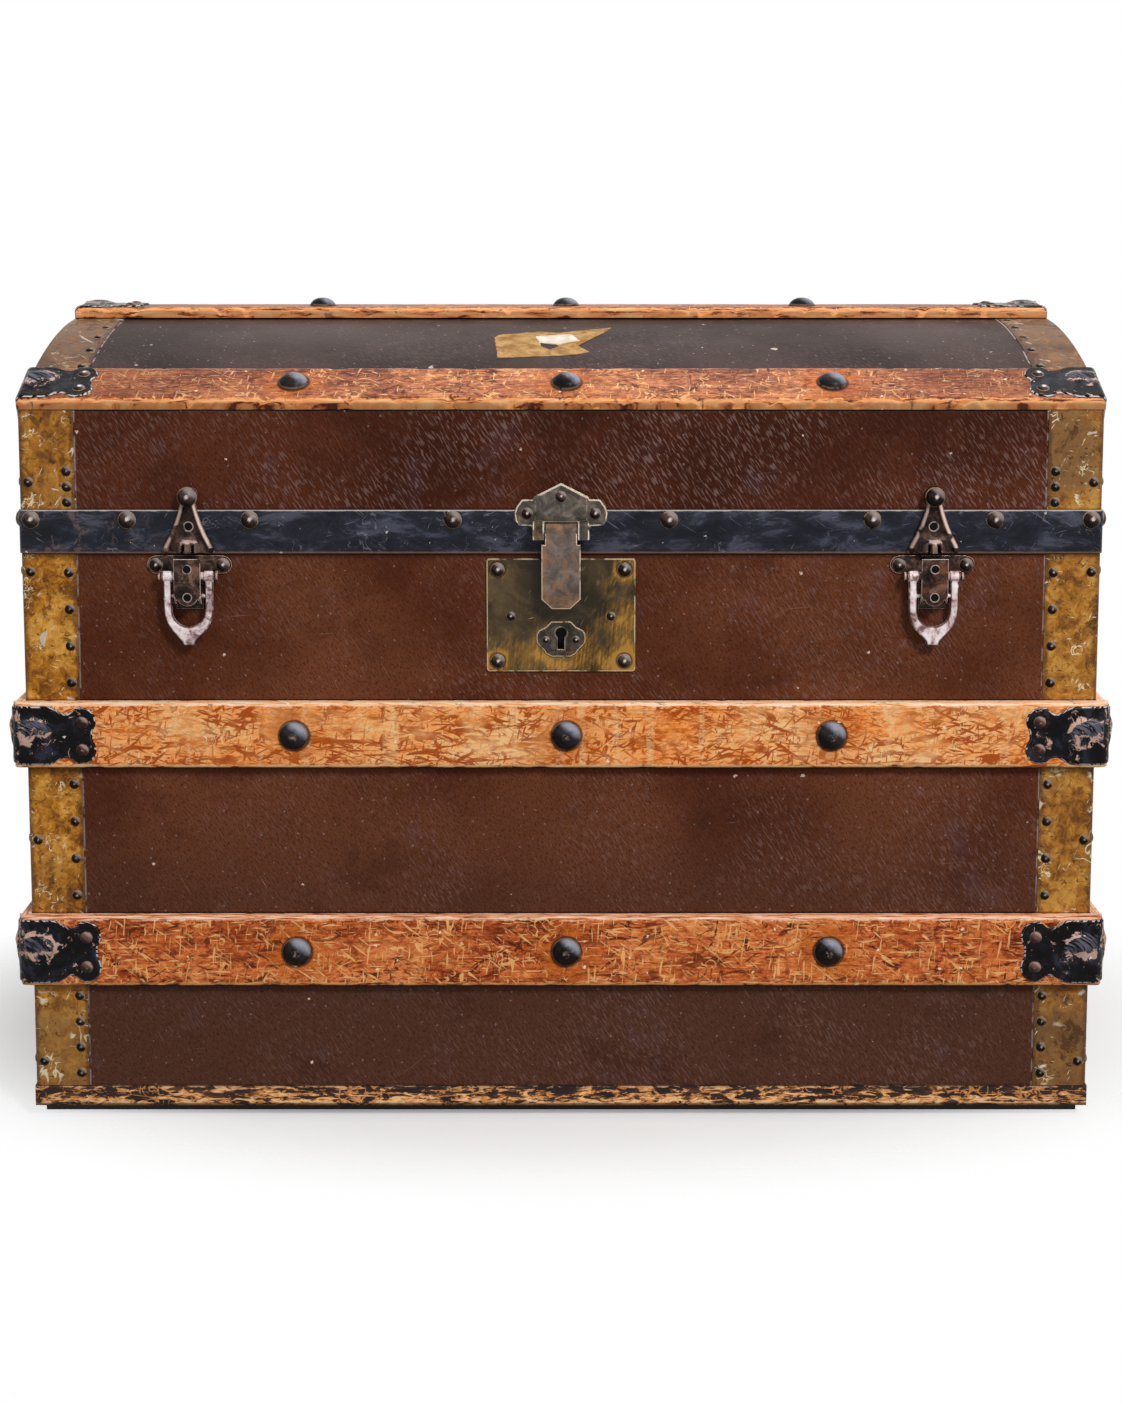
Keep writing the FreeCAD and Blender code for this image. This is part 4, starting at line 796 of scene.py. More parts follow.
@dataclass(frozen=True)
class SteelFinish:
    """Tarnished steel of a fitting, with pale worn edges on most fittings, painted shade on the nickel bail's rounded
    sides, painted highlight streaks along tube fronts and near-black painted shade in slots and hole bottoms.
    """

    name: str
    dark: Colour
    middle: Colour
    light: Colour
    edge: Colour
    rust: Colour = paint(150, 98, 56)
    rust_cover: float = 0.5
    rough: float = 0.28
    metal: float = 0.15
    gloss: float = 0.3

    def material(self) -> bpy.types.Material:
        """The steel."""
        s = Shader(self.name)
        cloud = s.noise(s.place, 85.0, 5.0, 0.68, 0.6)
        colour = s.ramp(cloud, [(0.38, self.dark), (0.51, self.middle), (0.64, self.light)])
        low = 0.60 - self.rust_cover * 0.12
        stain = s.smooth(s.noise(s.place, 46.0, 5.0, 0.72), low, low + 0.14) * s.smooth(cloud, 0.34, 0.52)
        colour = s.blend(stain * 0.6, colour, self.rust)
        lines = s.squiggles(85.0, 0.016, 0.3).either(s.strokes(0.008, 0.0006, math.radians(60), 0.09))
        colour = s.blend(lines * 0.5, colour, self.light)
        # Edge marks: pale worn rims on most fittings, painted shade on the rounded sides of the nickel bail, painted
        # highlight streaks along the fronts of tubes.
        mark = s.attribute("edge")
        border = mark * s.smooth(s.noise(s.place, 110.0, 2.0), 0.34, 0.46)
        colour = s.blend(border * 0.9, colour, self.edge)
        # Marks below zero: near-black painted shade in slots and hole bottoms.
        colour = s.blend(s.smooth(mark, -0.3, -0.7), colour, paint(4, 3, 3))
        rough = self.rough + stain * 0.2
        return s.surface(colour, rough, self.metal, s.bump(cloud, 0.0005, 0.4), self.gloss)


@dataclass(frozen=True)
class HeadFinish:
    """Metal of a rivet, nail or stud: worn at the crown and round the rim, with a painted highlight on its upper right
    and painted shade on its lower left.
    """

    name: str
    dark: Colour
    middle: Colour
    light: Colour
    rim: Colour
    rim_share: float
    # Strength of a painted highlight spot near the crown.
    spot: float = 0.0
    rough: float = 0.32
    metal: float = 0.0
    gloss: float = 0.07

    def material(self) -> bpy.types.Material:
        """The head's metal."""
        s = Shader(self.name)
        radial, low, tone = s.attribute("radial"), s.attribute("low"), s.attribute("tone")
        cloud = s.noise(s.place, 160.0, 4.0, 0.65, 0.5)
        colour = s.blend(s.smooth(cloud * 0.7 + tone * 0.3, 0.34, 0.66), self.dark, self.middle)
        # Painted highlight on the head's upper right, partly rubbed wear.
        worn = s.smooth(low + (cloud - 0.5) * 0.5, -0.18, -0.72) * s.smooth(radial, 1.0, 0.86)
        colour = s.blend(worn * (0.85 - self.spot * 0.75), colour, self.light)
        # Painted shade on the head's lower left.
        painted_shade = s.smooth(low + (cloud - 0.5) * 0.5, -0.05, 0.50)
        colour = s.blend(painted_shade * 0.9, colour, self.dark)
        ring = s.smooth(radial, 0.90, 0.97) * s.smooth(cloud, 0.36, 0.50) * self.rim_share
        colour = s.blend(ring, colour, self.rim)
        crown = s.smooth(radial, 0.36, 0.08) * s.smooth(s.noise(s.place, 480.0, 3.0, 0.6, 0.8), 0.50, 0.58)
        colour = s.blend(crown * 0.6, colour, self.rim)
        if self.spot:
            # Painted highlight spot near the crown, pushed towards the upper right.
            glint = s.smooth(radial + low * 0.6 + (cloud - 0.5) * 0.3, 0.24, 0.02)
            colour = s.blend(glint * self.spot, colour, self.light)
        return s.surface(colour, self.rough, self.metal, s.bump(cloud, 0.0004, 0.5), self.gloss)


@dataclass(frozen=True)
class LeatherFinish:
    """Oiled brown leather, cracked and rubbed."""

    name: str = "handle leather"

    def material(self) -> bpy.types.Material:
        """The leather."""
        s = Shader(self.name)
        cloud = s.noise(s.place, 40.0, 4.0, 0.6)
        colour = s.ramp(cloud, [(0.38, paint(46, 24, 15)), (0.52, paint(86, 48, 28)), (0.66, paint(128, 78, 46))])
        made = s.node("ShaderNodeTexVoronoi", {"feature": "DISTANCE_TO_EDGE"}, {"Vector": s.place, "Scale": 520.0})
        pebble = s.smooth(Term(s, made.outputs["Distance"]), 0.0, 0.16)
        colour = s.blend((1 - pebble) * 0.5, colour, paint(34, 18, 12))
        rubbed = s.attribute("edge") * s.smooth(s.noise(s.place, 110.0, 3.0), 0.44, 0.60)
        colour = s.blend(rubbed * 0.6, colour, paint(168, 116, 76))
        return s.surface(colour, 0.44, 0.0, s.bump(pebble * 0.6 + cloud * 0.4, 0.0005, 0.6), 0.3)


@dataclass(frozen=True)
class BoardFinish:
    """Bare softwood with its rings and knots."""

    name: str = "bare board"
    flat: bool = False

    def material(self) -> bpy.types.Material:
        """The board's wood."""
        s = Shader(self.name)
        rings = s.noise(s.stretched(2.5, 60.0, 0.0, self.flat), 1.0, 3.0, 0.55, 0.8)
        fibre = s.noise(s.stretched(30.0, 900.0, 0.0, self.flat, 3.0), 1.0, 2.0, 0.6)
        colour = s.ramp(rings, [(0.36, paint(150, 108, 66)), (0.50, paint(190, 148, 98)), (0.64, paint(212, 174, 124))])
        colour = s.blend(s.smooth(fibre, 0.47, 0.36) * 0.4, colour, paint(112, 74, 44))
        colour = s.blend(s.smooth(s.noise(s.place, 9.0, 3.0), 0.52, 0.70) * 0.4, colour, paint(120, 88, 58))
        return s.surface(colour, 0.7, 0.0, s.bump(fibre * 0.5 + rings * 0.5, 0.0006, 0.5))


@dataclass(frozen=True)
class PaperFinish:
    """Aged lining paper with faint even stripes and brown stains."""

    name: str = "lining paper"

    def material(self) -> bpy.types.Material:
        """The paper."""
        s = Shader(self.name)
        cloud = s.noise(s.place, 8.0, 5.0, 0.6)
        colour = s.ramp(cloud, [(0.36, paint(186, 160, 118)), (0.52, paint(214, 194, 154)), (0.66, paint(228, 212, 178))])
        repeat = s.math("FRACT", (s.x + s.y) * 45.0)
        stripe = s.smooth(abs(repeat - 0.5), 0.20, 0.17)
        colour = s.blend(stripe * 0.45, colour, paint(142, 126, 104))
        pin = s.smooth(abs(repeat - 0.02), 0.035, 0.02)
        colour = s.blend(pin * 0.4, colour, paint(126, 70, 52))
        spots = s.specks(0.03, 0.004, 0.3).either(s.smooth(s.noise(s.place, 5.0, 4.0, 0.7), 0.60, 0.72))
        colour = s.blend(spots * 0.45, colour, paint(140, 98, 58))
        fibre = s.noise(s.place, 700.0, 2.0)
        return s.surface(colour, 0.85, 0.0, s.bump(fibre, 0.0002, 0.5))


@dataclass(frozen=True)
class LabelFinish:
    """Torn remnant of plain tan paper, with a paler layer where its face is left."""

    name: str
    dark: Colour
    light: Colour

    def material(self) -> bpy.types.Material:
        """The remnant's paper."""
        s = Shader(self.name)
        cloud = s.noise(s.place, 90.0, 5.0, 0.65, 0.5)
        colour = s.ramp(cloud, [(0.38, self.dark), (0.62, self.light)])
        creases = s.strokes(0.012, 0.0006, math.radians(25), 0.09, 1.0, True)
        colour = s.blend(creases * 0.5, colour, self.dark)
        return s.surface(colour, 0.8, 0.0, s.bump(cloud, 0.0004, 0.6))


class Steels(Enum):
    """Finishes of the fittings and of the heads."""

    HASP = SteelFinish(
        "hasp steel", paint(50, 45, 39), paint(84, 77, 69), paint(124, 114, 104), paint(250, 230, 206),
        paint(124, 96, 58), 0.6, 0.26, 0.1, 0.22)
    ESCUTCHEON = SteelFinish(
        "escutcheon steel", paint(28, 22, 18), paint(56, 48, 42), paint(92, 82, 72), paint(222, 194, 158),
        paint(104, 70, 40), 0.5, 0.26, 0.1, 0.22)
    TONGUE = SteelFinish(
        "tongue steel", paint(88, 76, 68), paint(112, 99, 91), paint(134, 121, 113), paint(232, 212, 188),
        paint(156, 104, 58), 1.6, 0.26, 0.1, 0.12)
    LATCH = SteelFinish(
        "latch steel", paint(16, 10, 9), paint(60, 43, 37), paint(126, 98, 88), paint(255, 222, 208),
        paint(132, 78, 50), 0.5, 0.28, 0.05, 0.10)
    # Its edge colour is dark: painted shade on the rounded sides of the bail.
    NICKEL = SteelFinish(
        "worn nickel", paint(128, 94, 92), paint(242, 220, 219), paint(255, 252, 252), paint(60, 34, 30),
        paint(160, 104, 84), 0.5, 0.34, 0.05, 0.05)
    HIDDEN = SteelFinish(
        "plain iron", paint(34, 30, 28), paint(62, 54, 49), paint(92, 82, 74), paint(140, 126, 114))
    STUD = HeadFinish(
        "stud gunmetal", paint(6, 4, 3), paint(44, 40, 43), paint(158, 160, 174), paint(180, 152, 124), 0.3)
    RIVET = HeadFinish(
        "rivet steel", paint(14, 8, 6), paint(78, 58, 52), paint(248, 234, 230), paint(214, 176, 140), 0.6, 0.8)
    CLAMP_RIVET = HeadFinish(
        "clamp rivet", paint(46, 28, 22), paint(112, 82, 72), paint(176, 146, 134), paint(190, 160, 144), 0.4)
    NAIL = HeadFinish(
        "nail", paint(10, 5, 3), paint(40, 28, 24), paint(190, 172, 158), paint(214, 182, 140), 0.6, 0.5)


def store(mesh: bpy.types.Mesh, name: str, values: Sequence[float], domain: str = "POINT") -> None:
    """Keep a number for each point or face of a mesh.

    Args:
        mesh: the mesh.
        name: the attribute's name.
        values: one number for each point or face.
        domain: POINT or FACE.
    """
    kept = mesh.attributes.get(name) or mesh.attributes.new(name, "FLOAT", domain)
    kept.data.foreach_set("value", np.asarray(values, np.float32))


def smoothed(mesh: bpy.types.Mesh, degrees: float = 35.0) -> bpy.types.Mesh:
    """Shade a mesh smooth, with sharp edges past an angle."""
    mesh.shade_smooth()
    mesh.set_sharp_from_angle(angle=math.radians(degrees))
    return mesh


def joined(meshes: Sequence[bpy.types.Mesh], name: str) -> bpy.types.Mesh:
    """Join several meshes, keeping their attributes and their sharp edges.

    Args:
        meshes: the meshes, which are used up.
        name: name of the result.

    Returns:
        One mesh.
    """
    result = bmesh.new()
    for mesh in meshes:
        result.from_mesh(mesh)
        bpy.data.meshes.remove(mesh)
    whole = bpy.data.meshes.new(name)
    result.to_mesh(whole)
    result.free()
    return whole


class Wardrobe:
    """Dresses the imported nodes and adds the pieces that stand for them."""

    def __init__(self, frame: dict) -> None:
        """Hold the loaded frame."""
        self.nodes = frame["nodes"]
        self.body_of = {n: o["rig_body"] for n, o in frame["nodes"].items()}
        self.slot_of = {row["node"]: row["material_slot"] for row in frame["record"]["subparts"]}

    def dress(self, finish: bpy.types.Material, *names: str) -> None:
        """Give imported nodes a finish.

        Args:
            finish: the material.
            names: the nodes.
        """
        for name in names:
            mesh = self.nodes[name].data
            mesh.materials.clear()
            mesh.materials.append(finish)
            log.info("dressed %s", name)

    def add(self, name: str, mesh: bpy.types.Mesh, finish: bpy.types.Material | None, node: str,
            replaces: bool = True) -> bpy.types.Object:
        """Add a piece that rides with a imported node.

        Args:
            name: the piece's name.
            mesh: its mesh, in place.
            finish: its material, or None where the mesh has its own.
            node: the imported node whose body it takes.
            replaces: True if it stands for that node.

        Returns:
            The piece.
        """
        piece = bpy.data.objects.new(name, mesh)
        bpy.context.scene.collection.objects.link(piece)
        if finish is not None:
            mesh.materials.clear()
            mesh.materials.append(finish)
        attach(piece, self.body_of[node])
        if replaces:
            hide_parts(node)
        log.info("made %s, %d faces, on %s", name, len(mesh.polygons), self.body_of[node])
        return piece

    def softened(self, node: str, width: float, finish: bpy.types.Material, keep: float = 28.0) -> bpy.types.Object:
        """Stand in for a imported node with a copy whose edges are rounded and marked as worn.

        Args:
            node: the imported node.
            width: width of the rounding.
            finish: its material.
            keep: angle in degrees past which an edge is rounded.

        Returns:
            The piece.
        """
        solid = bmesh.new()
        solid.from_mesh(self.nodes[node].data)
        bmesh.ops.remove_doubles(solid, verts=solid.verts, dist=1e-6)
        bmesh.ops.dissolve_limit(solid, angle_limit=math.radians(1.0), verts=solid.verts, edges=solid.edges)
        sharp = [e for e in solid.edges if len(e.link_faces) == 2 and e.calc_face_angle(0.0) > math.radians(keep)]
        made = bmesh.ops.bevel(
            solid, geom=sharp, offset=width, segments=2, profile=0.6, affect="EDGES", clamp_overlap=True)
        rounded = set(made["faces"])
        mesh = bpy.data.meshes.new(node)
        solid.faces.ensure_lookup_table()
        flags = [1.0 if face in rounded else 0.0 for face in solid.faces]
        solid.to_mesh(mesh)
        solid.free()
        store(mesh, "edge", flags, "FACE")
        return self.add(f"worn_{node}", smoothed(mesh), finish, node)


@dataclass
class Shell:
    """Sizes of the trunk's shell, read from the frame, and places on its surface."""

    half_width: float
    half_depth: float
    seam: float
    crown: float
    dome_rise: float = 57.0 * MM
    band: float = 0.7 * MM
    lid_gap: float = 0.6 * MM

    @classmethod
    def measured(cls) -> "Shell":
        """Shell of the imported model."""
        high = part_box("lid_side_canvas")[1]
        return cls(high.x, high.y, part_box("body_canvas")[1].z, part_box("lid_top_canvas")[1].z)

    @property
    def dome_radius(self) -> float:
        """Radius of the dome's circle over the canvas."""
        return (self.half_depth ** 2 + self.dome_rise ** 2) / (2 * self.dome_rise)

    @property
    def dome_centre(self) -> float:
        """Height of the dome's axis."""
        return self.crown - self.dome_radius

    def on_wall(self, side: str, along: float, height: float, depth: float) -> Matrix:
        """Place on a wall, with local x to the right, y up and z outwards.

        Args:
            side: front, right, back or left.
            along: distance to the right of the wall's middle.
            height: height above the ground.
            depth: distance outside the canvas.

        Returns:
            The placement.
        """
        turn = {"front": 0, "right": 90, "back": 180, "left": 270}[side]
        reach = self.half_depth if side in ("front", "back") else self.half_width
        upright = Matrix.Translation((along, -reach - depth, height)) @ Matrix.Rotation(math.pi / 2, 4, "X")
        return Matrix.Rotation(math.radians(turn), 4, "Z") @ upright

    def on_dome(self, along: float, place: float, lift: float) -> Matrix:
        """Place on the dome, with local x along it and z outwards.

        Args:
            along: distance from the middle, to the right.
            place: the depth at which the canvas is met.
            lift: distance outside the canvas.

        Returns:
            The placement.
        """
        angle = math.asin(place / self.dome_radius)
        radius = self.dome_radius + lift
        spot = (along, radius * math.sin(angle), self.dome_centre + radius * math.cos(angle))
        return Matrix.Translation(spot) @ Matrix.Rotation(-angle, 4, "X")


class Grower(Graph):
    """Geometry Nodes tree with named inputs, grown into plain meshes."""

    def __init__(self, name: str, inputs: dict[str, tuple[str, object]]) -> None:
        """Make the tree and its inputs.

        Args:
            name: the tree's name.
            inputs: kind of socket and default value, by the input's name.
        """
        tree = bpy.data.node_groups.new(name, "GeometryNodeTree")
        super().__init__(tree)
        tree.interface.new_socket("Geometry", in_out="INPUT", socket_type="NodeSocketGeometry")
        tree.interface.new_socket("Geometry", in_out="OUTPUT", socket_type="NodeSocketGeometry")
        self.keys = {}
        for label, (kind, value) in inputs.items():
            socket = tree.interface.new_socket(label, in_out="INPUT", socket_type=kind)
            if value is not None:
                socket.default_value = value
            self.keys[label] = socket.identifier
        self.entry = self.node("NodeGroupInput")

    def given(self, label: str) -> Term:
        """Input of the tree by name."""
        return Term(self, self.entry.outputs[label])

    def close(self, shape: Term) -> None:
        """Realize the shape, give it its material and end the tree."""
        real = self.out("GeometryNodeRealizeInstances", None, {0: shape})
        done = self.out("GeometryNodeSetMaterial", None, {"Geometry": real, "Material": self.given("Material")})
        self.node("NodeGroupOutput", None, {0: done})

    def grow(self, source: bpy.types.Mesh, values: dict[str, object]) -> bpy.types.Mesh:
        """Run the tree on a mesh.

        Args:
            source: the mesh that enters it, which is used up.
            values: values of its inputs by name.

        Returns:
            The result as a plain mesh.
        """
        carrier = bpy.data.objects.new("carrier", source)
        bpy.context.scene.collection.objects.link(carrier)
        modifier = carrier.modifiers.new("grow", "NODES")
        modifier.node_group = self.tree
        for label, value in values.items():
            modifier[self.keys[label]] = value
        graph = bpy.context.evaluated_depsgraph_get()
        graph.update()
        mesh = bpy.data.meshes.new_from_object(carrier.evaluated_get(graph))
        carrier.modifiers.remove(modifier)
        bpy.data.objects.remove(carrier)
        bpy.data.meshes.remove(source)
        return mesh


class SlatTree(Grower):
    """Tree of one slat: a bar with rounded and nibbled edges, along x on the z = 0 plane."""

    def __init__(self) -> None:
        """Build the tree."""
        super().__init__("slat", {
            "Length": ("NodeSocketFloat", 0.8), "Width": ("NodeSocketFloat", 0.05),
            "Thickness": ("NodeSocketFloat", 0.0085), "Edge": ("NodeSocketFloat", 0.0025),
            "End": ("NodeSocketFloat", 0.008), "Wear": ("NodeSocketFloat", 0.0006),
            "Seed": ("NodeSocketFloat", 0.0), "Steps": ("NodeSocketInt", 380),
            "Material": ("NodeSocketMaterial", None)})
        length, width, thick = self.given("Length"), self.given("Width"), self.given("Thickness")
        edge, end = self.given("Edge"), self.given("End")
        block = self.out("GeometryNodeMeshCube", None, {
            "Size": self.join(length, width, thick + edge),
            "Vertices X": self.given("Steps"), "Vertices Y": 22, "Vertices Z": 8})
        x, y, z = self.split(self.out("GeometryNodeInputPosition"))
        z = z + (thick - edge) * 0.5
        y_in, z_in = width * 0.5 - edge, thick - edge
        y_core = y.both(y_in).either(y_in * -1.0)
        z_core = z.both(z_in)
        way = self.vector("NORMALIZE", self.join(0.0, y - y_core, z - z_core))
        _, y_way, z_way = self.split(way)
        y_new = y_core + y_way * edge
        z_new = (z_core + z_way * edge).either(0.0)
        over = (abs(x) - (length * 0.5 - end)).either(0.0).both(end * 0.999)
        fall = end - self.math("SQRT", end * end - over * over)
        z_new = z_new.both((thick - fall).either(0.0))
        rim = self.smooth(width * 0.5 - abs(y_new), 0.0065, 0.0005)
        spot = self.join(x + self.given("Seed") * 3.7, y, z)
        bites = self.smooth(self.noise(spot, 75.0, 3.0, 0.6), 0.50, 0.72)
        ripple = self.noise(self.vector("ADD", spot, (9.0, 0.0, 0.0)), 26.0, 2.0) - 0.5
        drop = rim * bites * self.given("Wear")
        lifted = self.smooth(z_new, 0.0, 0.002)
        side = self.math("SIGN", y)
        moved = self.join(
            x, y_new - side * drop * 0.8, z_new - (drop + ripple * 0.0005 + 0.00025) * lifted)
        shaped = self.out("GeometryNodeSetPosition", None, {"Geometry": block, "Position": moved})
        floating = {"data_type": "FLOAT", "domain": "POINT"}
        for label, value in (("edge", rim), ("up", self.math("DIVIDE", y * 2.0, width))):
            shaped = self.out("GeometryNodeStoreNamedAttribute", floating, {
                "Geometry": shaped, "Name": label, "Value": value})
        self.close(shaped)


@dataclass
class Slats:
    """Wooden slats of the four walls and of the dome."""

    shell: Shell
    thickness: float = 8.5 * MM
    lid_thickness: float = 9.0 * MM
    lid_width: float = 51.0 * MM
    crown_width: float = 56.0 * MM
    side_share: float = 0.905
    step: float = 2.2 * MM
    seed: float = 0.0

    def one(self, tree: SlatTree, size: tuple[float, float, float], place: Matrix, finish: bpy.types.Material,
            radii: tuple[float, float], wear: float) -> bpy.types.Mesh:
        """Grow a slat and put it in place.

        Args:
            tree: the slat's tree.
            size: length, width and thickness.
            place: its placement.
            finish: its material.
            radii: radius of its long edges and of its ends.
            wear: depth of the bites in its edges.

        Returns:
            The slat's mesh.
        """
        self.seed += 1.0
        length, width, thick = size
        mesh = tree.grow(bpy.data.meshes.new("slat"), {
            "Length": length, "Width": width, "Thickness": thick, "Edge": radii[0], "End": radii[1],
            "Wear": wear, "Seed": self.seed, "Steps": int(length / self.step), "Material": finish})
        mesh.transform(place)
        return smoothed(mesh, 50.0)

    def build(self, wardrobe: Wardrobe) -> None:
        """Make every slat."""
        tree = SlatTree()
        seats = heads_of(wardrobe.nodes["body_slat_studs"])
        front = [seat.centre for seat in seats if seat.axis[1] < -0.9]
        columns = tuple(sorted({round(spot[0], 3) for spot in front}))
        rows = tuple(sorted({round(spot[2], 3) for spot in front}))
        lid_rows = tuple(sorted({round(abs(seat.centre[1]), 3) for seat in heads_of(wardrobe.nodes["lid_slat_studs"])}))
        upper = WoodFinish(
            "upper slat wood", paint(214, 108, 34), paint(255, 156, 78), paint(255, 178, 108), paint(255, 208, 148),
            paint(255, 210, 170), paint(255, 184, 112), paint(170, 72, 14), paint(255, 226, 172), 0.73, 0.26,
            columns, rows, False, 0.0).material()
        lower = WoodFinish(
            "lower slat wood", paint(110, 40, 14), paint(170, 76, 34), paint(210, 108, 54), paint(240, 154, 88),
            paint(248, 186, 142), paint(226, 148, 88), paint(84, 28, 10), paint(255, 194, 124), 0.56, 0.72,
            columns, rows, False, 20.0).material()
        domed = WoodFinish(
            "lid slat wood", paint(84, 36, 22), paint(142, 76, 46), paint(184, 110, 72), paint(230, 158, 108),
            paint(228, 158, 108), paint(240, 150, 86), paint(84, 34, 18), paint(255, 200, 140), 0.56, 0.60,
            columns, lid_rows, True, 40.0).material()
        shell = self.shell
        for level, finish in (("upper", upper), ("lower", lower)):
            low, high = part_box(f"front_{level}_slat")
            width = high.z - low.z
            middle = (high.z + low.z) / 2
            for side in ("front", "back"):
                place = shell.on_wall(side, 0.0, middle, shell.band)
                size = (high.x - low.x, width, self.thickness)
                mesh = self.one(tree, size, place, finish, (2.5 * MM, 8.0 * MM), 0.7 * MM)
                wardrobe.add(f"{side}_{level}_worn_slat", mesh, None, f"{side}_{level}_slat")
        for side in ("left", "right"):
            meshes = []
            for level, finish in (("upper", upper), ("lower", lower)):
                low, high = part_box(f"front_{level}_slat")
                place = shell.on_wall(side, 0.0, (high.z + low.z) / 2, shell.band)
                size = (2 * (shell.half_depth + shell.band), high.z - low.z, self.thickness)
                meshes.append(self.one(tree, size, place, finish, (2.5 * MM, 0.1 * MM), 0.7 * MM))
            for mesh, level in zip(meshes, ("upper", "lower")):
                wardrobe.add(f"{side}_{level}_worn_slat", mesh, None, f"{side}_end_slats")
        side_place = shell.half_depth * self.side_share
        for node, depth, width in (
                ("lid_front_slat", -side_place, self.lid_width), ("lid_crown_slat", 0.0, self.crown_width),
                ("lid_back_slat", side_place, self.lid_width)):
            size = (2 * (shell.half_width + shell.band), width, self.lid_thickness)
            mesh = self.one(
                tree, size, shell.on_dome(0.0, depth, shell.band), domed, (4.6 * MM, 4.0 * MM), 1.3 * MM)
            wardrobe.add(f"{node}_worn", mesh, None, node)


@dataclass(frozen=True)
class Head:
    """Seat of one rivet, stud or nail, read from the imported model."""

    centre: Vector
    axis: Vector
    radius: float
    height: float


def heads_of(obj: bpy.types.Object) -> list[Head]:
    """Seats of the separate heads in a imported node.

    Args:
        obj: the node's object.

    Returns:
        One seat for each loose solid.
    """
    solid = bmesh.new()
    solid.from_mesh(obj.data)
    bmesh.ops.remove_doubles(solid, verts=solid.verts, dist=1e-6)
    found, seen = [], set()
    for start in solid.verts:
        if start in seen:
            continue
        group, queue = set(), [start]
        while queue:
            vert = queue.pop()
            if vert not in group:
                group.add(vert)
                queue.extend(edge.other_vert(vert) for edge in vert.link_edges)
        seen |= group
        found.append(seat_of({face for vert in group for face in vert.link_faces}))
    solid.free()
    return found


def seat_of(faces: set) -> Head:
    """Seat of one head: its flat base is its largest plane.

    Args:
        faces: the faces of its solid.

    Returns:
        The seat.
    """
    planes: dict[tuple, list] = {}
    for face in faces:
        planes.setdefault(tuple(round(v, 2) for v in face.normal), []).append(face)
    base = max(planes.values(), key=lambda group: sum(face.calc_area() for face in group))
    area = sum(face.calc_area() for face in base)
    centre = sum((face.calc_center_median() * face.calc_area() for face in base), Vector()) / area
    axis = -base[0].normal.copy()
    corners = [vert.co for face in base for vert in face.verts]
    radius = max((corner - centre).length for corner in corners)
    height = max((vert.co - centre).dot(axis) for face in faces for vert in face.verts)
    return Head(centre, axis, radius, height)


class HeadForm(Enum):
    """Profile of a head as (radius, height) shares, and its number of sides."""

    STUD = (40, ((1.0, 0.0), (1.0, 0.05), (0.975, 0.13), (0.94, 0.19), (0.86, 0.40), (0.74, 0.61), (0.58, 0.79),
                 (0.38, 0.92), (0.18, 0.985), (0.0, 1.0)))
    RIVET = (24, ((1.0, 0.0), (1.0, 0.10), (0.95, 0.20), (0.86, 0.44), (0.68, 0.72), (0.42, 0.91), (0.16, 0.985),
                  (0.0, 1.0)))
    FLAT = (24, ((1.0, 0.0), (1.0, 0.30), (0.94, 0.62), (0.80, 0.86), (0.55, 0.97), (0.0, 1.0)))
    NAIL = (12, ((1.0, 0.0), (0.97, 0.30), (0.72, 0.78), (0.36, 0.96), (0.0, 1.0)))

    def mesh(self) -> bpy.types.Mesh:
        """Head of radius and height 1, turned about z, with its radial share stored."""
        sides, profile = self.value
        verts, shares, faces = [], [], []
        for radius, height in profile[:-1]:
            for step in range(sides):
                turn = 2 * math.pi * step / sides
                verts.append((radius * math.cos(turn), radius * math.sin(turn), height))
                shares.append(radius)
        top = len(verts)
        verts.append((0.0, 0.0, profile[-1][1]))
        shares.append(0.0)
        rings = len(profile) - 1
        for ring in range(rings - 1):
            for step in range(sides):
                first, second = ring * sides + step, ring * sides + (step + 1) % sides
                faces.append((first, second, second + sides, first + sides))
        last = (rings - 1) * sides
        faces += [(last + step, last + (step + 1) % sides, top) for step in range(sides)]
        faces.append(tuple(reversed(range(sides))))
        mesh = bpy.data.meshes.new("head")
        mesh.from_pydata(verts, [], faces)
        store(mesh, "radial", shares)
        return smoothed(mesh, 60.0)


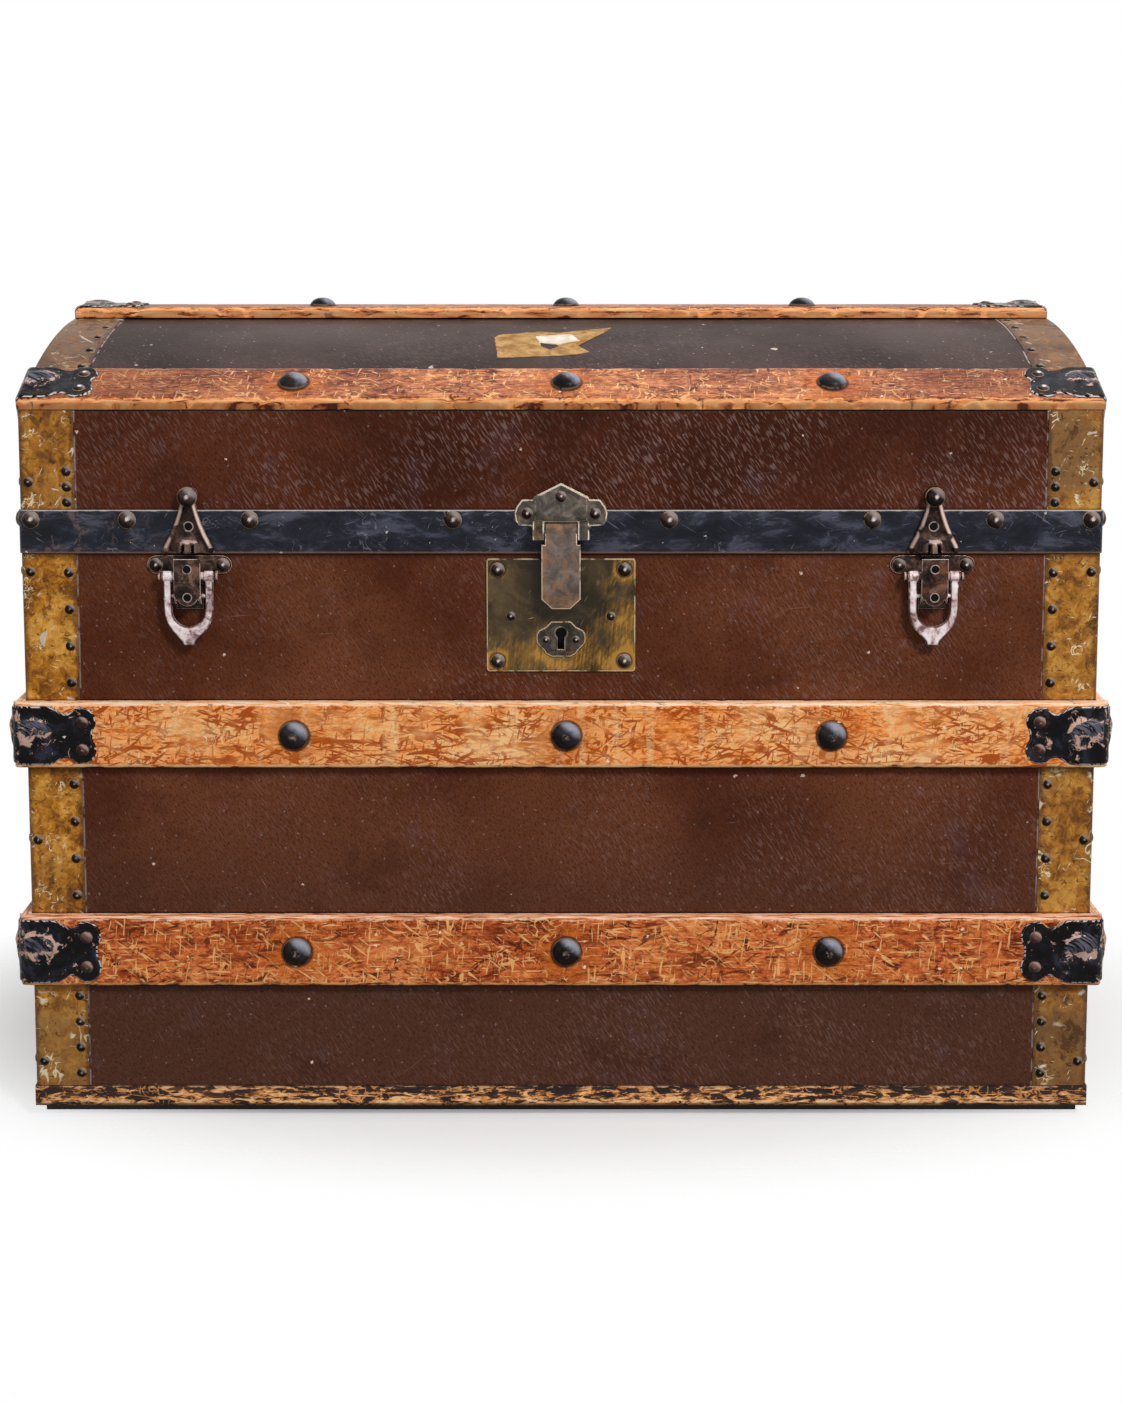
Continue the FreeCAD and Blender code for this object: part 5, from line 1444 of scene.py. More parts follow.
class HeadTree(Grower):
    """Tree that sets a head on every seat, each turned and tilted a little."""

    def __init__(self) -> None:
        """Build the tree."""
        super().__init__("heads", {
            "Head": ("NodeSocketObject", None), "Tilt": ("NodeSocketFloat", 0.05), "Seed": ("NodeSocketInt", 1),
            "Material": ("NodeSocketMaterial", None)})
        seed = self.given("Seed")

        def stored(name: str, kind: str) -> Term:
            """Attribute of a seat."""
            return self.out("GeometryNodeInputNamedAttribute", {"data_type": kind}, {"Name": name})

        points = self.out("GeometryNodeMeshToPoints", None, {"Mesh": self.given("Geometry")})
        shape = self.out("GeometryNodeObjectInfo", None, {"Object": self.given("Head")}, "Geometry")
        tilt = self.given("Tilt")
        lean = self.out(
            "FunctionNodeRandomValue", {"data_type": "FLOAT_VECTOR"},
            {0: (-1.0, -1.0, -1.0), 1: (1.0, 1.0, 1.0), "Seed": seed})
        axis = self.vector("ADD", stored("axis", "FLOAT_VECTOR"), self.vector("MULTIPLY", lean, self.join(tilt, tilt, tilt)))
        turn = self.out("FunctionNodeAlignRotationToVector", {"axis": "Z"}, {"Vector": axis})
        radius, height = stored("reach", "FLOAT"), stored("rise", "FLOAT")
        placed = self.out("GeometryNodeInstanceOnPoints", None, {
            "Points": points, "Instance": shape, "Rotation": turn, "Scale": self.join(radius, radius, height)})
        chance = self.out("FunctionNodeRandomValue", {"data_type": "FLOAT"}, {2: 0.0, 3: 1.0, "Seed": seed}, 1)
        toned = self.out(
            "GeometryNodeStoreNamedAttribute", {"data_type": "FLOAT", "domain": "INSTANCE"},
            {"Geometry": placed, "Name": "tone", "Value": chance})
        centred = self.out(
            "GeometryNodeStoreNamedAttribute", {"data_type": "FLOAT_VECTOR", "domain": "INSTANCE"},
            {"Geometry": toned, "Name": "seat", "Value": self.out("GeometryNodeInputPosition")})
        real = self.out("GeometryNodeRealizeInstances", None, {0: centred})
        offset = self.vector("SUBTRACT", self.out("GeometryNodeInputPosition"), stored("seat", "FLOAT_VECTOR"))
        across, _, drop = self.split(offset)
        size = stored("reach", "FLOAT")
        # Direction across the head: positive towards the lower left and negative towards the upper right, where the
        # finish paints shade and highlight.
        below = self.math("DIVIDE", drop * -0.8 - across * 0.6, size)
        marked = self.out(
            "GeometryNodeStoreNamedAttribute", {"data_type": "FLOAT", "domain": "POINT"},
            {"Geometry": real, "Name": "low", "Value": below})
        self.close(marked)


@dataclass
class Heads:
    """Rivets, studs and nails of the whole trunk."""

    seed: int = 3
    nail_grow: float = 1.1

    def build(self, wardrobe: Wardrobe) -> None:
        """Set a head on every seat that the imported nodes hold."""
        tree = HeadTree()
        rows = (
            ("body_slat_studs", HeadForm.STUD, Steels.STUD, 0.03), ("lid_slat_studs", HeadForm.STUD, Steels.STUD, 0.03),
            ("belt_rivets", HeadForm.RIVET, Steels.RIVET, 0.04), ("body_hardware_rivets", HeadForm.RIVET, Steels.RIVET, 0.04),
            ("lid_hardware_rivets", HeadForm.RIVET, Steels.RIVET, 0.03),
            ("body_clamp_rivets", HeadForm.FLAT, Steels.CLAMP_RIVET, 0.05),
            ("body_band_nails", HeadForm.NAIL, Steels.NAIL, 0.08), ("lid_band_nails", HeadForm.NAIL, Steels.NAIL, 0.08),
        )
        forms = {form: bpy.data.objects.new(f"head {form.name}", form.mesh()) for form in HeadForm}
        for form in forms.values():
            bpy.context.scene.collection.objects.link(form)
        finishes = {steel: steel.value.material() for steel in {row[2] for row in rows}}
        for index, (node, form, steel, tilt) in enumerate(rows):
            seats = heads_of(wardrobe.nodes[node])
            source = bpy.data.meshes.new("seats")
            source.from_pydata([seat.centre for seat in seats], [], [])
            source.attributes.new("axis", "FLOAT_VECTOR", "POINT").data.foreach_set(
                "vector", np.array([seat.axis for seat in seats], np.float32).ravel())
            grow = self.nail_grow if form is HeadForm.NAIL else 1.0
            store(source, "reach", [seat.radius * grow for seat in seats])
            store(source, "rise", [seat.height for seat in seats])
            mesh = tree.grow(source, {
                "Head": forms[form], "Tilt": tilt, "Seed": self.seed + index, "Material": finishes[steel]})
            wardrobe.add(f"{node}_heads", mesh, None, node)
        for form in forms.values():
            bpy.data.objects.remove(form)


@dataclass
class Clamps:
    """Stamped and enamelled clamps over the ends of the slats."""

    shell: Shell
    thickness: float = 1.2 * MM
    margin: float = 2.6 * MM
    reach: float = 55.2 * MM
    slat: float = 8.5 * MM
    bend: float = 8.0 * MM
    lid_slat: float = 9.0 * MM
    lid_bend: float = 4.0 * MM
    tab: float = 15.0 * MM
    rows: int = 30
    columns: int = 46
    nose_height: float = 3.4 * MM
    notch: float = 2.8 * MM
    edge_width: float = 1.8 * MM

    def half_outline(self, run: float, leg: float, half: float) -> float:
        """Half width of a leg at a distance from its bend.

        Args:
            run: distance from the bend along the leg.
            leg: the leg's whole length.
            half: its half width at the shoulder.

        Returns:
            The half width there.
        """
        shoulder, neck = leg - 37.0 * MM, leg - 22.0 * MM
        if run < shoulder:
            return half
        if run < neck:
            share = (run - shoulder) / (neck - shoulder)
            return half * (1 - 0.26 * math.sin(share * math.pi / 2) ** 2)
        share = min(1.0, (run - neck) / (9.0 * MM))
        return half * (0.74 + 0.23 * math.sin(share * math.pi / 2) ** 2)

    def end_reach(self, across: float, half: float) -> float:
        """How far short of its full length a leg ends, with its two lobes.

        Args:
            across: place across the leg, from -1 to 1.
            half: the leg's half width.

        Returns:
            The distance that is left out.
        """
        lobe = half * 0.49
        away = min(lobe, abs(abs(across) - 0.5) * half)
        short = lobe - math.sqrt(lobe ** 2 - away ** 2)
        return min(short, self.notch) if abs(across) < 0.5 else short

    def nose(self, run: float, across: float, half: float) -> tuple[float, float]:
        """Embossed form of a leg.

        Args:
            run: distance from the bend.
            across: place across the leg, from -1 to 1.
            half: its half width.

        Returns:
            Its height, and how far it is worn there from 0 to 1, which also sets the strength of the enamel's painted
            sheen.
        """
        u = (run - 9.0 * MM) / (15.0 * MM)
        v = (across - 0.12) / 0.62
        hill = max(0.0, 1 - u * u - v * v)
        ridge = math.exp(-((across - 0.32 + u * 0.10) / 0.20) ** 2) * max(0.0, 1 - (u / 1.15) ** 2)
        pit = math.exp(-((u - 0.15) / 0.30) ** 2 - ((across + 0.16) / 0.20) ** 2)
        height = 0.62 * hill ** 0.8 + 0.42 * ridge - 0.52 * pit * min(1.0, hill * 3)
        groove = math.exp(-((run - 31.0 * MM) / (1.6 * MM)) ** 2) * 0.10
        return self.nose_height * max(0.0, height) - groove * self.thickness, min(1.0, max(0.0, height * 1.4))

    def strip(self, path: Callable[[float], tuple[Vector, Vector]], spans: tuple[float, float], half: float,
              legs: tuple[float, float], bend_half: float) -> bpy.types.Mesh:
        """Sheet that follows a path, with lobes at the ends that have them.

        Args:
            path: gives a point and its outward normal at a distance from the bend's middle.
            spans: lowest and highest distance on the path.
            half: half width of the sheet.
            legs: length of the lobed leg below and above the bend, or 0 for a plain tab.
            bend_half: distance from the bend's middle to the start of a leg.

        Returns:
            A closed mesh in the path's own frame, with its width along local y.
        """
        count, low, high = self.rows, spans[0], spans[1]
        top, bottom, bosses, edges = [], [], [], []
        steps = self.columns * (2 if min(legs) > 0 else 1) + 12
        for i in range(steps + 1):
            for j in range(count + 1):
                across = -1 + 2 * j / count
                ends = [self.end_reach(across, half) if leg > 0 else 0.0 for leg in legs]
                first, last = low + ends[0], high - ends[1]
                a = first + (last - first) * i / steps
                leg = legs[0] if a < 0 else legs[1]
                run = max(0.0, abs(a) - bend_half)
                width = self.half_outline(run, leg, half) if leg > 0 else half
                rim = min((1 - abs(across)) * width, a - first, last - a)
                share = min(1.0, max(0.0, rim / (1.1 * MM)))
                rise = self.thickness * math.sqrt(1 - (1 - share) ** 2)
                boss, worn = self.nose(run, across, width) if leg > 0 and abs(a) >= bend_half * 0.6 else (0.0, 0.2)
                spot, normal = path(a)
                ripple = noise.noise(Vector((a * 190, across * 5, half * 900))) * 0.22 * MM * share
                foot = spot + Vector((0.0, across * width, 0.0))
                top.append(foot + normal * (rise + (boss + ripple) * share))
                bottom.append(foot)
                bosses.append(worn * share)
                edges.append(max(0.0, 1.0 - rim / self.edge_width))
        wide = count + 1
        size = len(top)
        faces = []
        for i in range(steps):
            for j in range(count):
                a, b = i * wide + j, (i + 1) * wide + j
                faces.append((a, b, b + 1, a + 1))
                faces.append((size + a, size + a + 1, size + b + 1, size + b))
        mesh = bpy.data.meshes.new("clamp")
        mesh.from_pydata(top + bottom, [], faces)
        store(mesh, "boss", bosses + [0.0] * size)
        store(mesh, "edge", edges + [0.0] * size)
        solid = bmesh.new()
        solid.from_mesh(mesh)
        bmesh.ops.remove_doubles(solid, verts=solid.verts, dist=1e-7)
        bmesh.ops.recalc_face_normals(solid, faces=solid.faces)
        solid.to_mesh(mesh)
        solid.free()
        return mesh

    def corner(self, height: float) -> bpy.types.Mesh:
        """Clamp round an upright corner, about the band's corner, with its width along local y.

        Args:
            height: the clamp's height.

        Returns:
            The mesh, with the front leg along -x, outside towards +z, and the other leg along -z.
        """
        radius, inner = self.bend, self.slat - self.bend
        arc = radius * math.pi / 4
        leg = self.reach + inner

        def path(a: float) -> tuple[Vector, Vector]:
            """Point and normal: the front leg at a < 0 and the end leg at a > 0."""
            if a < -arc:
                return Vector((inner + (a + arc), 0.0, self.slat)), Vector((0.0, 0.0, 1.0))
            if a > arc:
                return Vector((self.slat, 0.0, inner - (a - arc))), Vector((1.0, 0.0, 0.0))
            turn = math.pi / 4 - a / radius
            normal = Vector((math.cos(turn), 0.0, math.sin(turn)))
            return Vector((inner, 0.0, inner)) + normal * radius, normal

        return self.strip(path, (-arc - leg, arc + leg), height / 2, (leg, leg), arc)

    def lid_end(self, width: float) -> bpy.types.Mesh:
        """Clamp over the end of a lid slat, about the band's corner, with its width along local y."""
        radius = self.lid_bend
        arc = radius * math.pi / 4
        leg = self.reach - radius
        drop = self.lid_slat - radius + self.tab

        def path(a: float) -> tuple[Vector, Vector]:
            """Point and normal: the leg at a < 0 and the tab at a > 0."""
            if a < -arc:
                return Vector((a + arc - radius, 0.0, 0.0)), Vector((0.0, 0.0, 1.0))
            if a > arc:
                return Vector((0.0, 0.0, -radius - (a - arc))), Vector((1.0, 0.0, 0.0))
            turn = math.pi / 4 - a / radius
            normal = Vector((math.cos(turn), 0.0, math.sin(turn)))
            return Vector((-radius, 0.0, -radius)) + normal * radius, normal

        return self.strip(path, (-arc - leg, arc + drop), width / 2, (leg, 0.0), arc)

    def build(self, wardrobe: Wardrobe) -> None:
        """Make the clamps of the body and of the lid."""
        finish = EnamelFinish().material()
        shell = self.shell
        meshes = []
        corner_x, corner_y = shell.half_width + shell.band, shell.half_depth + shell.band
        for level in ("upper", "lower"):
            low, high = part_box(f"front_{level}_slat")
            height = high.z - low.z - 2 * self.margin
            for sign_x in (-1, 1):
                for sign_y in (-1, 1):
                    mesh = self.corner(height)
                    upright = Matrix.Translation((corner_x, -corner_y, (high.z + low.z) / 2))
                    mesh.transform(upright @ Matrix.Rotation(math.pi / 2, 4, "X"))
                    self.flip(mesh, Matrix.Diagonal((sign_x, -sign_y, 1, 1)))
                    meshes.append(mesh)
        wardrobe.add("enamelled_corner_clamps", smoothed(joined(meshes, "clamps"), 60.0), finish, "body_corner_clamps")
        meshes = []
        side_place = shell.half_depth * 0.905
        for place, width in ((-side_place, 51.0 * MM), (0.0, 56.0 * MM), (side_place, 51.0 * MM)):
            for sign in (-1, 1):
                mesh = self.lid_end(width - 2 * self.margin)
                mesh.transform(shell.on_dome(corner_x, place, shell.band + self.lid_slat))
                self.flip(mesh, Matrix.Diagonal((sign, 1, 1, 1)))
                meshes.append(mesh)
        wardrobe.add("enamelled_lid_clamps", smoothed(joined(meshes, "clamps"), 60.0), finish, "lid_slat_clamps")

    @staticmethod
    def flip(mesh: bpy.types.Mesh, mirror: Matrix) -> None:
        """Mirror a mesh and keep its faces pointing outwards."""
        mesh.transform(mirror)
        if mirror.determinant() < 0:
            mesh.flip_normals()


def arc(centre: Point, radius: float, first: float, last: float, steps: int = 8) -> list[Point]:
    """Points on an arc.

    Args:
        centre: its centre.
        radius: its radius.
        first: angle of its first point in degrees.
        last: angle of its last point in degrees.
        steps: number of its chords.

    Returns:
        The points.
    """
    turns = [math.radians(first + (last - first) * step / steps) for step in range(steps + 1)]
    return [(centre[0] + radius * math.cos(t), centre[1] + radius * math.sin(t)) for t in turns]


def pressed(outlines: Sequence[Sequence[Point]], thickness: float, round_over: float, steps: int = 2,
            border: float = 0.0) -> bpy.types.Mesh:
    """Flat plate with rounded edges, from z = 0 up, with its rounded edges marked: most finishes show them as wear, the
    nickel one as painted shade.

    Args:
        outlines: the outer outline, then any holes.
        thickness: the plate's thickness.
        round_over: radius of its edges.
        steps: faces across a rounded edge.
        border: width of the worn border on its upper face.

    Returns:
        The plate's mesh.
    """
    curve = bpy.data.curves.new("plate", "CURVE")
    curve.dimensions = "2D"
    curve.fill_mode = "BOTH"
    curve.extrude = max(thickness / 2 - round_over, 1e-5)
    curve.bevel_depth = round_over
    curve.bevel_resolution = steps
    curve.offset = -round_over
    for outline in outlines:
        spline = curve.splines.new("POLY")
        spline.points.add(len(outline) - 1)
        for point, (x, y) in zip(spline.points, outline):
            point.co = (x, y, 0.0, 1.0)
        spline.use_cyclic_u = True
    holder = bpy.data.objects.new("plate", curve)
    mesh = bpy.data.meshes.new_from_object(holder)
    bpy.data.objects.remove(holder)
    bpy.data.curves.remove(curve)
    mesh.transform(Matrix.Translation((0.0, 0.0, thickness / 2)))
    solid = bmesh.new()
    solid.from_mesh(mesh)
    bmesh.ops.remove_doubles(solid, verts=solid.verts, dist=1e-6)
    bmesh.ops.recalc_face_normals(solid, faces=solid.faces)
    layer = solid.faces.layers.float.new("edge")
    for face in solid.faces:
        slope = abs(face.normal.z)
        face[layer] = min(1.0, (0.99 - slope) * 5.0) if 0.05 < slope < 0.98 else 0.0
    if border:
        upper = [face for face in solid.faces if face.normal.z > 0.98]
        for face in bmesh.ops.inset_region(solid, faces=upper, thickness=border, use_even_offset=True)["faces"]:
            face[layer] = 1.0
    solid.to_mesh(mesh)
    solid.free()
    return smoothed(mesh)


def swept(path: Sequence[Vector], radii: Sequence[float], sides: int = 12, squash: float = 1.0,
          worn: float = 0.0) -> bpy.types.Mesh:
    """Closed tube along a path.

    Args:
        path: its points.
        radii: its radius at each point.
        sides: its number of sides.
        squash: its depth along local z as a share of its width.
        worn: strength of a painted highlight streak along its front, from 0 to 1, or -1 for a hole bottom painted as
            near-black shade.

    Returns:
        The tube's mesh.
    """
    rings, faces = [], []
    for index, spot in enumerate(path):
        ahead = path[min(index + 1, len(path) - 1)] - path[max(index - 1, 0)]
        ahead.normalize()
        up = Vector((0.0, 0.0, 1.0))
        if abs(ahead.dot(up)) > 0.95:
            up = Vector((0.0, 1.0, 0.0))
        side = ahead.cross(up).normalized()
        lift = side.cross(ahead).normalized()
        for step in range(sides):
            turn = 2 * math.pi * step / sides
            rings.append(spot + (side * math.cos(turn) + lift * math.sin(turn) * squash) * radii[index])
    for index in range(len(path) - 1):
        for step in range(sides):
            a, b = index * sides + step, index * sides + (step + 1) % sides
            faces.append((a, b, b + sides, a + sides))
    faces.append(tuple(reversed(range(sides))))
    faces.append(tuple(range((len(path) - 1) * sides, len(path) * sides)))
    mesh = bpy.data.meshes.new("tube")
    mesh.from_pydata(rings, [], faces)
    angles = [2 * math.pi * (step + 0.5) / sides for step in range(sides)]
    streak = [worn * (max(0.0, math.sin(turn)) ** 3 if worn > 0 else 1.0) for turn in angles]
    store(mesh, "edge", streak * (len(path) - 1) + [min(worn, 0.0)] * 2, "FACE")
    solid = bmesh.new()
    solid.from_mesh(mesh)
    bmesh.ops.recalc_face_normals(solid, faces=solid.faces)
    solid.to_mesh(mesh)
    solid.free()
    return smoothed(mesh, 50.0)


def mirrored(points: Sequence[Point]) -> list[Point]:
    """Outline of its right half, from top to bottom, and its mirror image."""
    return list(points) + [(-x, y) for x, y in reversed(points)]


def millimetres(points: Sequence[Point]) -> list[Point]:
    """Points given in millimetres, in metres."""
    return [(x * MM, y * MM) for x, y in points]


@dataclass
class Lock:
    """Lock plate, escutcheon and its raised keyhole."""

    shell: Shell
    width: float = 112.6 * MM
    height: float = 86.8 * MM
    corner: float = 2.6 * MM
    key_radius: float = 4.3 * MM
    key_slot: float = 5.2 * MM
    key_length: float = 12.6 * MM
    key_rise: float = 4.8 * MM
    escutcheon_drop: float = 61.8 * MM
    slot_drop: float = 26.0 * MM

    def keyhole(self, rise: float, grow: float = 0.0) -> list[Point]:
        """Outline of the keyhole.

        Args:
            rise: height of its plate's centre.
            grow: how much wider it is.

        Returns:
            The outline.
        """
        radius, half = self.key_radius + grow, self.key_slot / 2 + grow
        start = math.degrees(math.asin(half / radius))
        low = self.key_rise - self.key_length - grow
        round_part = arc((0.0, self.key_rise), radius, start - 90, 270 - start, 20)
        return [(x, y + rise) for x, y in round_part + [(-half, low), (half, low)]]

    def build(self, wardrobe: Wardrobe) -> None:
        """Make the lock's visible pieces."""
        bronze = BronzeFinish().material()
        low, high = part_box("lock_plate")
        middle = (low.z + high.z) / 2
        x, y, r = self.width / 2, self.height / 2, self.corner
        outline = (
            arc((x - r, y - r), r, 0, 90) + arc((r - x, y - r), r, 90, 180)
            + arc((r - x, r - y), r, 180, 270) + arc((x - r, r - y), r, 270, 360))
        key = high.z - self.escutcheon_drop
        slot_y = y - self.slot_drop
        slot = [(-8 * MM, slot_y - 4.5 * MM), (8 * MM, slot_y - 4.5 * MM),
                (8 * MM, slot_y + 4.5 * MM), (-8 * MM, slot_y + 4.5 * MM)]
        plate = pressed([outline, self.keyhole(key - middle), slot], 1.5 * MM, 0.45 * MM, 2, 0.5 * MM)
        plate.transform(self.shell.on_wall("front", 0.0, middle, 0.0))
        wardrobe.add("bronze_lock_plate", plate, bronze, "lock_plate")
        half = millimetres([
            (7.3, 13.8), (11.4, 9.6), (13.6, 8.4), (16.8, 6.8), (18.4, 4.2), (18.7, 1.0), (18.3, -2.8),
            (14.8, -6.6), (12.8, -8.6), (11.2, -11.2), (7.0, -13.4)])
        shield = pressed([mirrored(half), self.keyhole(0.0, 0.1 * MM)], 1.0 * MM, 0.4 * MM, 2, 0.4 * MM)
        lip = pressed([self.keyhole(0.0, 1.0 * MM), self.keyhole(0.0, 0.0)], 1.7 * MM, 0.35 * MM)
        whole = joined([shield, lip], "escutcheon")
        whole.transform(self.shell.on_wall("front", 0.0, key, 1.5 * MM))
        wardrobe.add("shaped_escutcheon", smoothed(whole), Steels.ESCUTCHEON.value.material(), "escutcheon")


@dataclass
class Hasp:
    """Hasp plate with its rolled knuckles, and the swinging tongue."""

    shell: Shell
    axis_rise: float = 18.6 * MM
    axis_depth: float = 7.9 * MM
    belt_face: float = 1.9 * MM

    def build(self, wardrobe: Wardrobe) -> None:
        """Make the plate and the tongue."""
        place = self.shell.on_wall("front", 0.0, self.shell.seam + self.axis_rise, 0.0)
        ears = millimetres([
            (20.3, 25.3), (21.6, 23.2), (29.4, 23.0), (33.4, 17.6), (35.0, 12.6), (34.2, 6.8), (31.6, 3.2),
            (22.4, 2.8), (20.0, -0.5), (12.4, -0.5), (12.4, 5.8)])
        back = pressed([[(0.0, 35.6 * MM)] + mirrored(ears)], 1.2 * MM, 0.45 * MM, 2, 0.6 * MM)
        inner = millimetres([(19.6, 24.2), (19.6, 7.2), (12.6, 6.6)])
        front = pressed([[(0.0, 34.4 * MM)] + mirrored(inner)], 0.9 * MM, 0.4 * MM)
        back.transform(Matrix.Translation((0, 0, self.belt_face)))
        front.transform(Matrix.Translation((0, 0, self.belt_face + 0.9 * MM)))
        shapes = [back, front]
        sideways = Matrix.Rotation(math.pi / 2, 4, "Y")
        for sign in (-1, 1):
            block = pressed([millimetres([(5.3, 6.6), (-5.3, 6.6), (-5.3, -6.2), (5.3, -6.2)])], 8.8 * MM, 1.2 * MM, 3)
            block.transform(Matrix.Translation(((sign * 16.9 - 4.4) * MM, 0.0, self.axis_depth)) @ sideways)
            shapes.append(block)
        plate = joined(shapes, "hasp plate")
        plate.transform(place)
        wardrobe.add("worn_hasp_plate", smoothed(plate), Steels.HASP.value.material(), "hasp_plate")
        strip = millimetres([
            (12.0, -1.0), (12.0, -9.8), (14.7, -9.8), (14.7, -51.3), (6.8, -58.6)])
        blade = pressed([mirrored(strip)], 3.0 * MM, 0.75 * MM, 3, 0.35 * MM)
        for face, mark in zip(blade.polygons, blade.attributes["edge"].data):
            mark.value *= face.center.y < -1.9 * MM
        blade.transform(Matrix.Translation((0.0, 0.0, self.axis_depth + 2.5 * MM)))
        barrel = swept([Vector((x * MM, 0.0, self.axis_depth)) for x in (-12.0, -11.4, 11.4, 12.0)],
                       [4.7 * MM, 5.5 * MM, 5.5 * MM, 4.7 * MM], 28)
        staple = swept(
            [Vector((x * MM, -48.0 * MM, z * MM)) for x, z in (
                (-4.6, 10.6), (-4.8, 6.0), (-4.4, 3.8), (-2.6, 2.9), (2.6, 2.9), (4.4, 3.8), (4.8, 6.0), (4.6, 10.6))],
            [1.25 * MM] * 8, 10)
        tongue = joined([blade, barrel, staple], "tongue")
        tongue.transform(place)
        wardrobe.add("worn_hasp_tongue", smoothed(tongue), Steels.TONGUE.value.material(), "hasp_tongue")


@dataclass
class Latches:
    """Draw latches: catch, strap and pull lever of each."""

    shell: Shell
    offset_share: float = 0.689
    axle_drop: float = 15.7 * MM
    belt_face: float = 1.9 * MM

    def catch(self) -> bpy.types.Mesh:
        """Catch with its flared raised sides, its slotted hood and the ball's seat, about the seam."""
        flare = [(5.0, 44.0), (5.2, 40.0), (6.0, 36.0), (7.6, 30.0), (10.2, 22.0), (14.0, 13.0), (17.6, 6.0),
                 (19.0, 2.6), (19.0, 0.4)]
        hole = arc((0.0, 20.0 * MM), 3.0 * MM, 0, 345, 15)
        sheet = pressed([mirrored(millimetres(flare)), hole], 1.5 * MM, 0.4 * MM)
        shapes = [sheet]
        for sign in (-1, 1):
            rail = [Vector((sign * (x - 1.6) * MM, y * MM, 2.6 * MM)) for x, y in flare[:-1]]
            radii = [1.7, 1.7, 1.75, 1.8, 1.9, 2.0, 2.1, 2.0]
            # Painted highlight streak along each rail's front, stronger on the right-hand rail.
            shapes.append(swept(rail, [r * MM for r in radii], 16, 1.25, 0.5 if sign < 0 else 1.0))
            shapes.append(self.ball(Vector((sign * 16.8 * MM, 2.8 * MM, 3.0 * MM)), 2.6 * MM))
        # Raised ring round the hole, with a painted highlight streak along its front.
        rim = [Vector((3.6 * MM * math.cos(t), 20.0 * MM + 3.6 * MM * math.sin(t), 1.6 * MM))
               for t in (math.radians(15 * k) for k in range(25))]
        shapes.append(swept(rim, [0.6 * MM] * len(rim), 8, 1.0, 0.5))
        # Near-black disc in the hole: painted shade.
        shapes.append(swept([Vector((0.0, 20.0 * MM, z * MM)) for z in (0.2, 0.9)], [2.98 * MM] * 2, 20, 1.0, -1.0))
        shapes.append(self.hood())
        boss = swept([Vector((0.0, 43.0 * MM, z * MM)) for z in (-1.9, 4.0, 5.1)], [7.4 * MM, 7.4 * MM, 6.9 * MM], 32)
        shapes.append(boss)
        return joined(shapes, "catch")

    @staticmethod
    def ball(centre: Vector, radius: float) -> bpy.types.Mesh:
        """Small ball with its attribute."""
        solid = bmesh.new()
        bmesh.ops.create_uvsphere(solid, u_segments=20, v_segments=12, radius=radius, matrix=Matrix.Translation(centre))
        mesh = bpy.data.meshes.new("ball")
        solid.to_mesh(mesh)
        solid.free()
        store(mesh, "edge", [0.0] * len(mesh.polygons), "FACE")
        return mesh

    @staticmethod
    def hood() -> bpy.types.Mesh:
        """Round hood over the seam, with two slots pressed into it and painted near-black as shade."""
        verts, faces = [], []
        turns, rings = 56, 22
        for ring in range(rings + 1):
            fall = math.pi / 2 * ring / rings
            for step in range(turns + 1):
                turn = math.pi * step / turns
                way = Vector((math.cos(turn) * math.sin(fall), math.sin(turn) * math.sin(fall), math.cos(fall)))
                spot = Vector((way.x * 8.8, way.y * 11.4, 1.5 + way.z * 8.6))
                slot = max(0.0, 1 - (abs(abs(spot.x) - 3.6) / 1.6) ** 4) * max(0.0, 1 - (abs(spot.y - 3.2) / 4.2) ** 4)
                spot -= way * 3.4 * slot
                verts.append(spot * MM)
        wide = turns + 1
        for ring in range(rings):
            for step in range(turns):
                a = ring * wide + step
                faces.append((a, a + wide, a + wide + 1, a + 1))
        mesh = bpy.data.meshes.new("hood")
        mesh.from_pydata(verts, [], faces)
        solid = bmesh.new()
        solid.from_mesh(mesh)
        bmesh.ops.remove_doubles(solid, verts=solid.verts, dist=1e-6)
        border = [edge for edge in solid.edges if edge.is_boundary]
        bmesh.ops.holes_fill(solid, edges=border)
        bmesh.ops.recalc_face_normals(solid, faces=solid.faces)
        solid.to_mesh(mesh)
        solid.free()
        # The slots' faces are marked -1, which the finish paints as near-black shade.
        tones = []
        for face in mesh.polygons:
            across, rise = abs(face.center.x) / MM, face.center.y / MM
            tones.append(-1.0 if 2.4 < across < 4.9 and 0.0 < rise < 6.0 else 0.6 if 7.0 < rise < 9.6 else 0.1)
        store(mesh, "edge", tones, "FACE")
        mesh.transform(Matrix.Translation((0.0, 0.9 * MM, 0.0)))
        return mesh

    def strap(self) -> bpy.types.Mesh:
        """Channel-shaped strap with two holes, about the axle."""
        outline = (
            millimetres([(10.0, 13.8), (-10.0, 13.8), (-10.0, -14.0), (-8.6, -17.5)])
            + arc((0.0, -13.9 * MM), 8.0 * MM, 205, 335, 14) + millimetres([(8.6, -17.5), (10.0, -14.0)]))
        holes = [arc((0.0, 6.0 * MM), 3.0 * MM, 0, 345, 15), arc((0.0, -15.4 * MM), 2.9 * MM, 0, 345, 15)]
        face = pressed([outline] + holes, 1.5 * MM, 0.5 * MM)
        face.transform(Matrix.Translation((0.0, 0.0, 12.6 * MM)))
        shapes = [face]
        for spot in (6.0, -15.4):
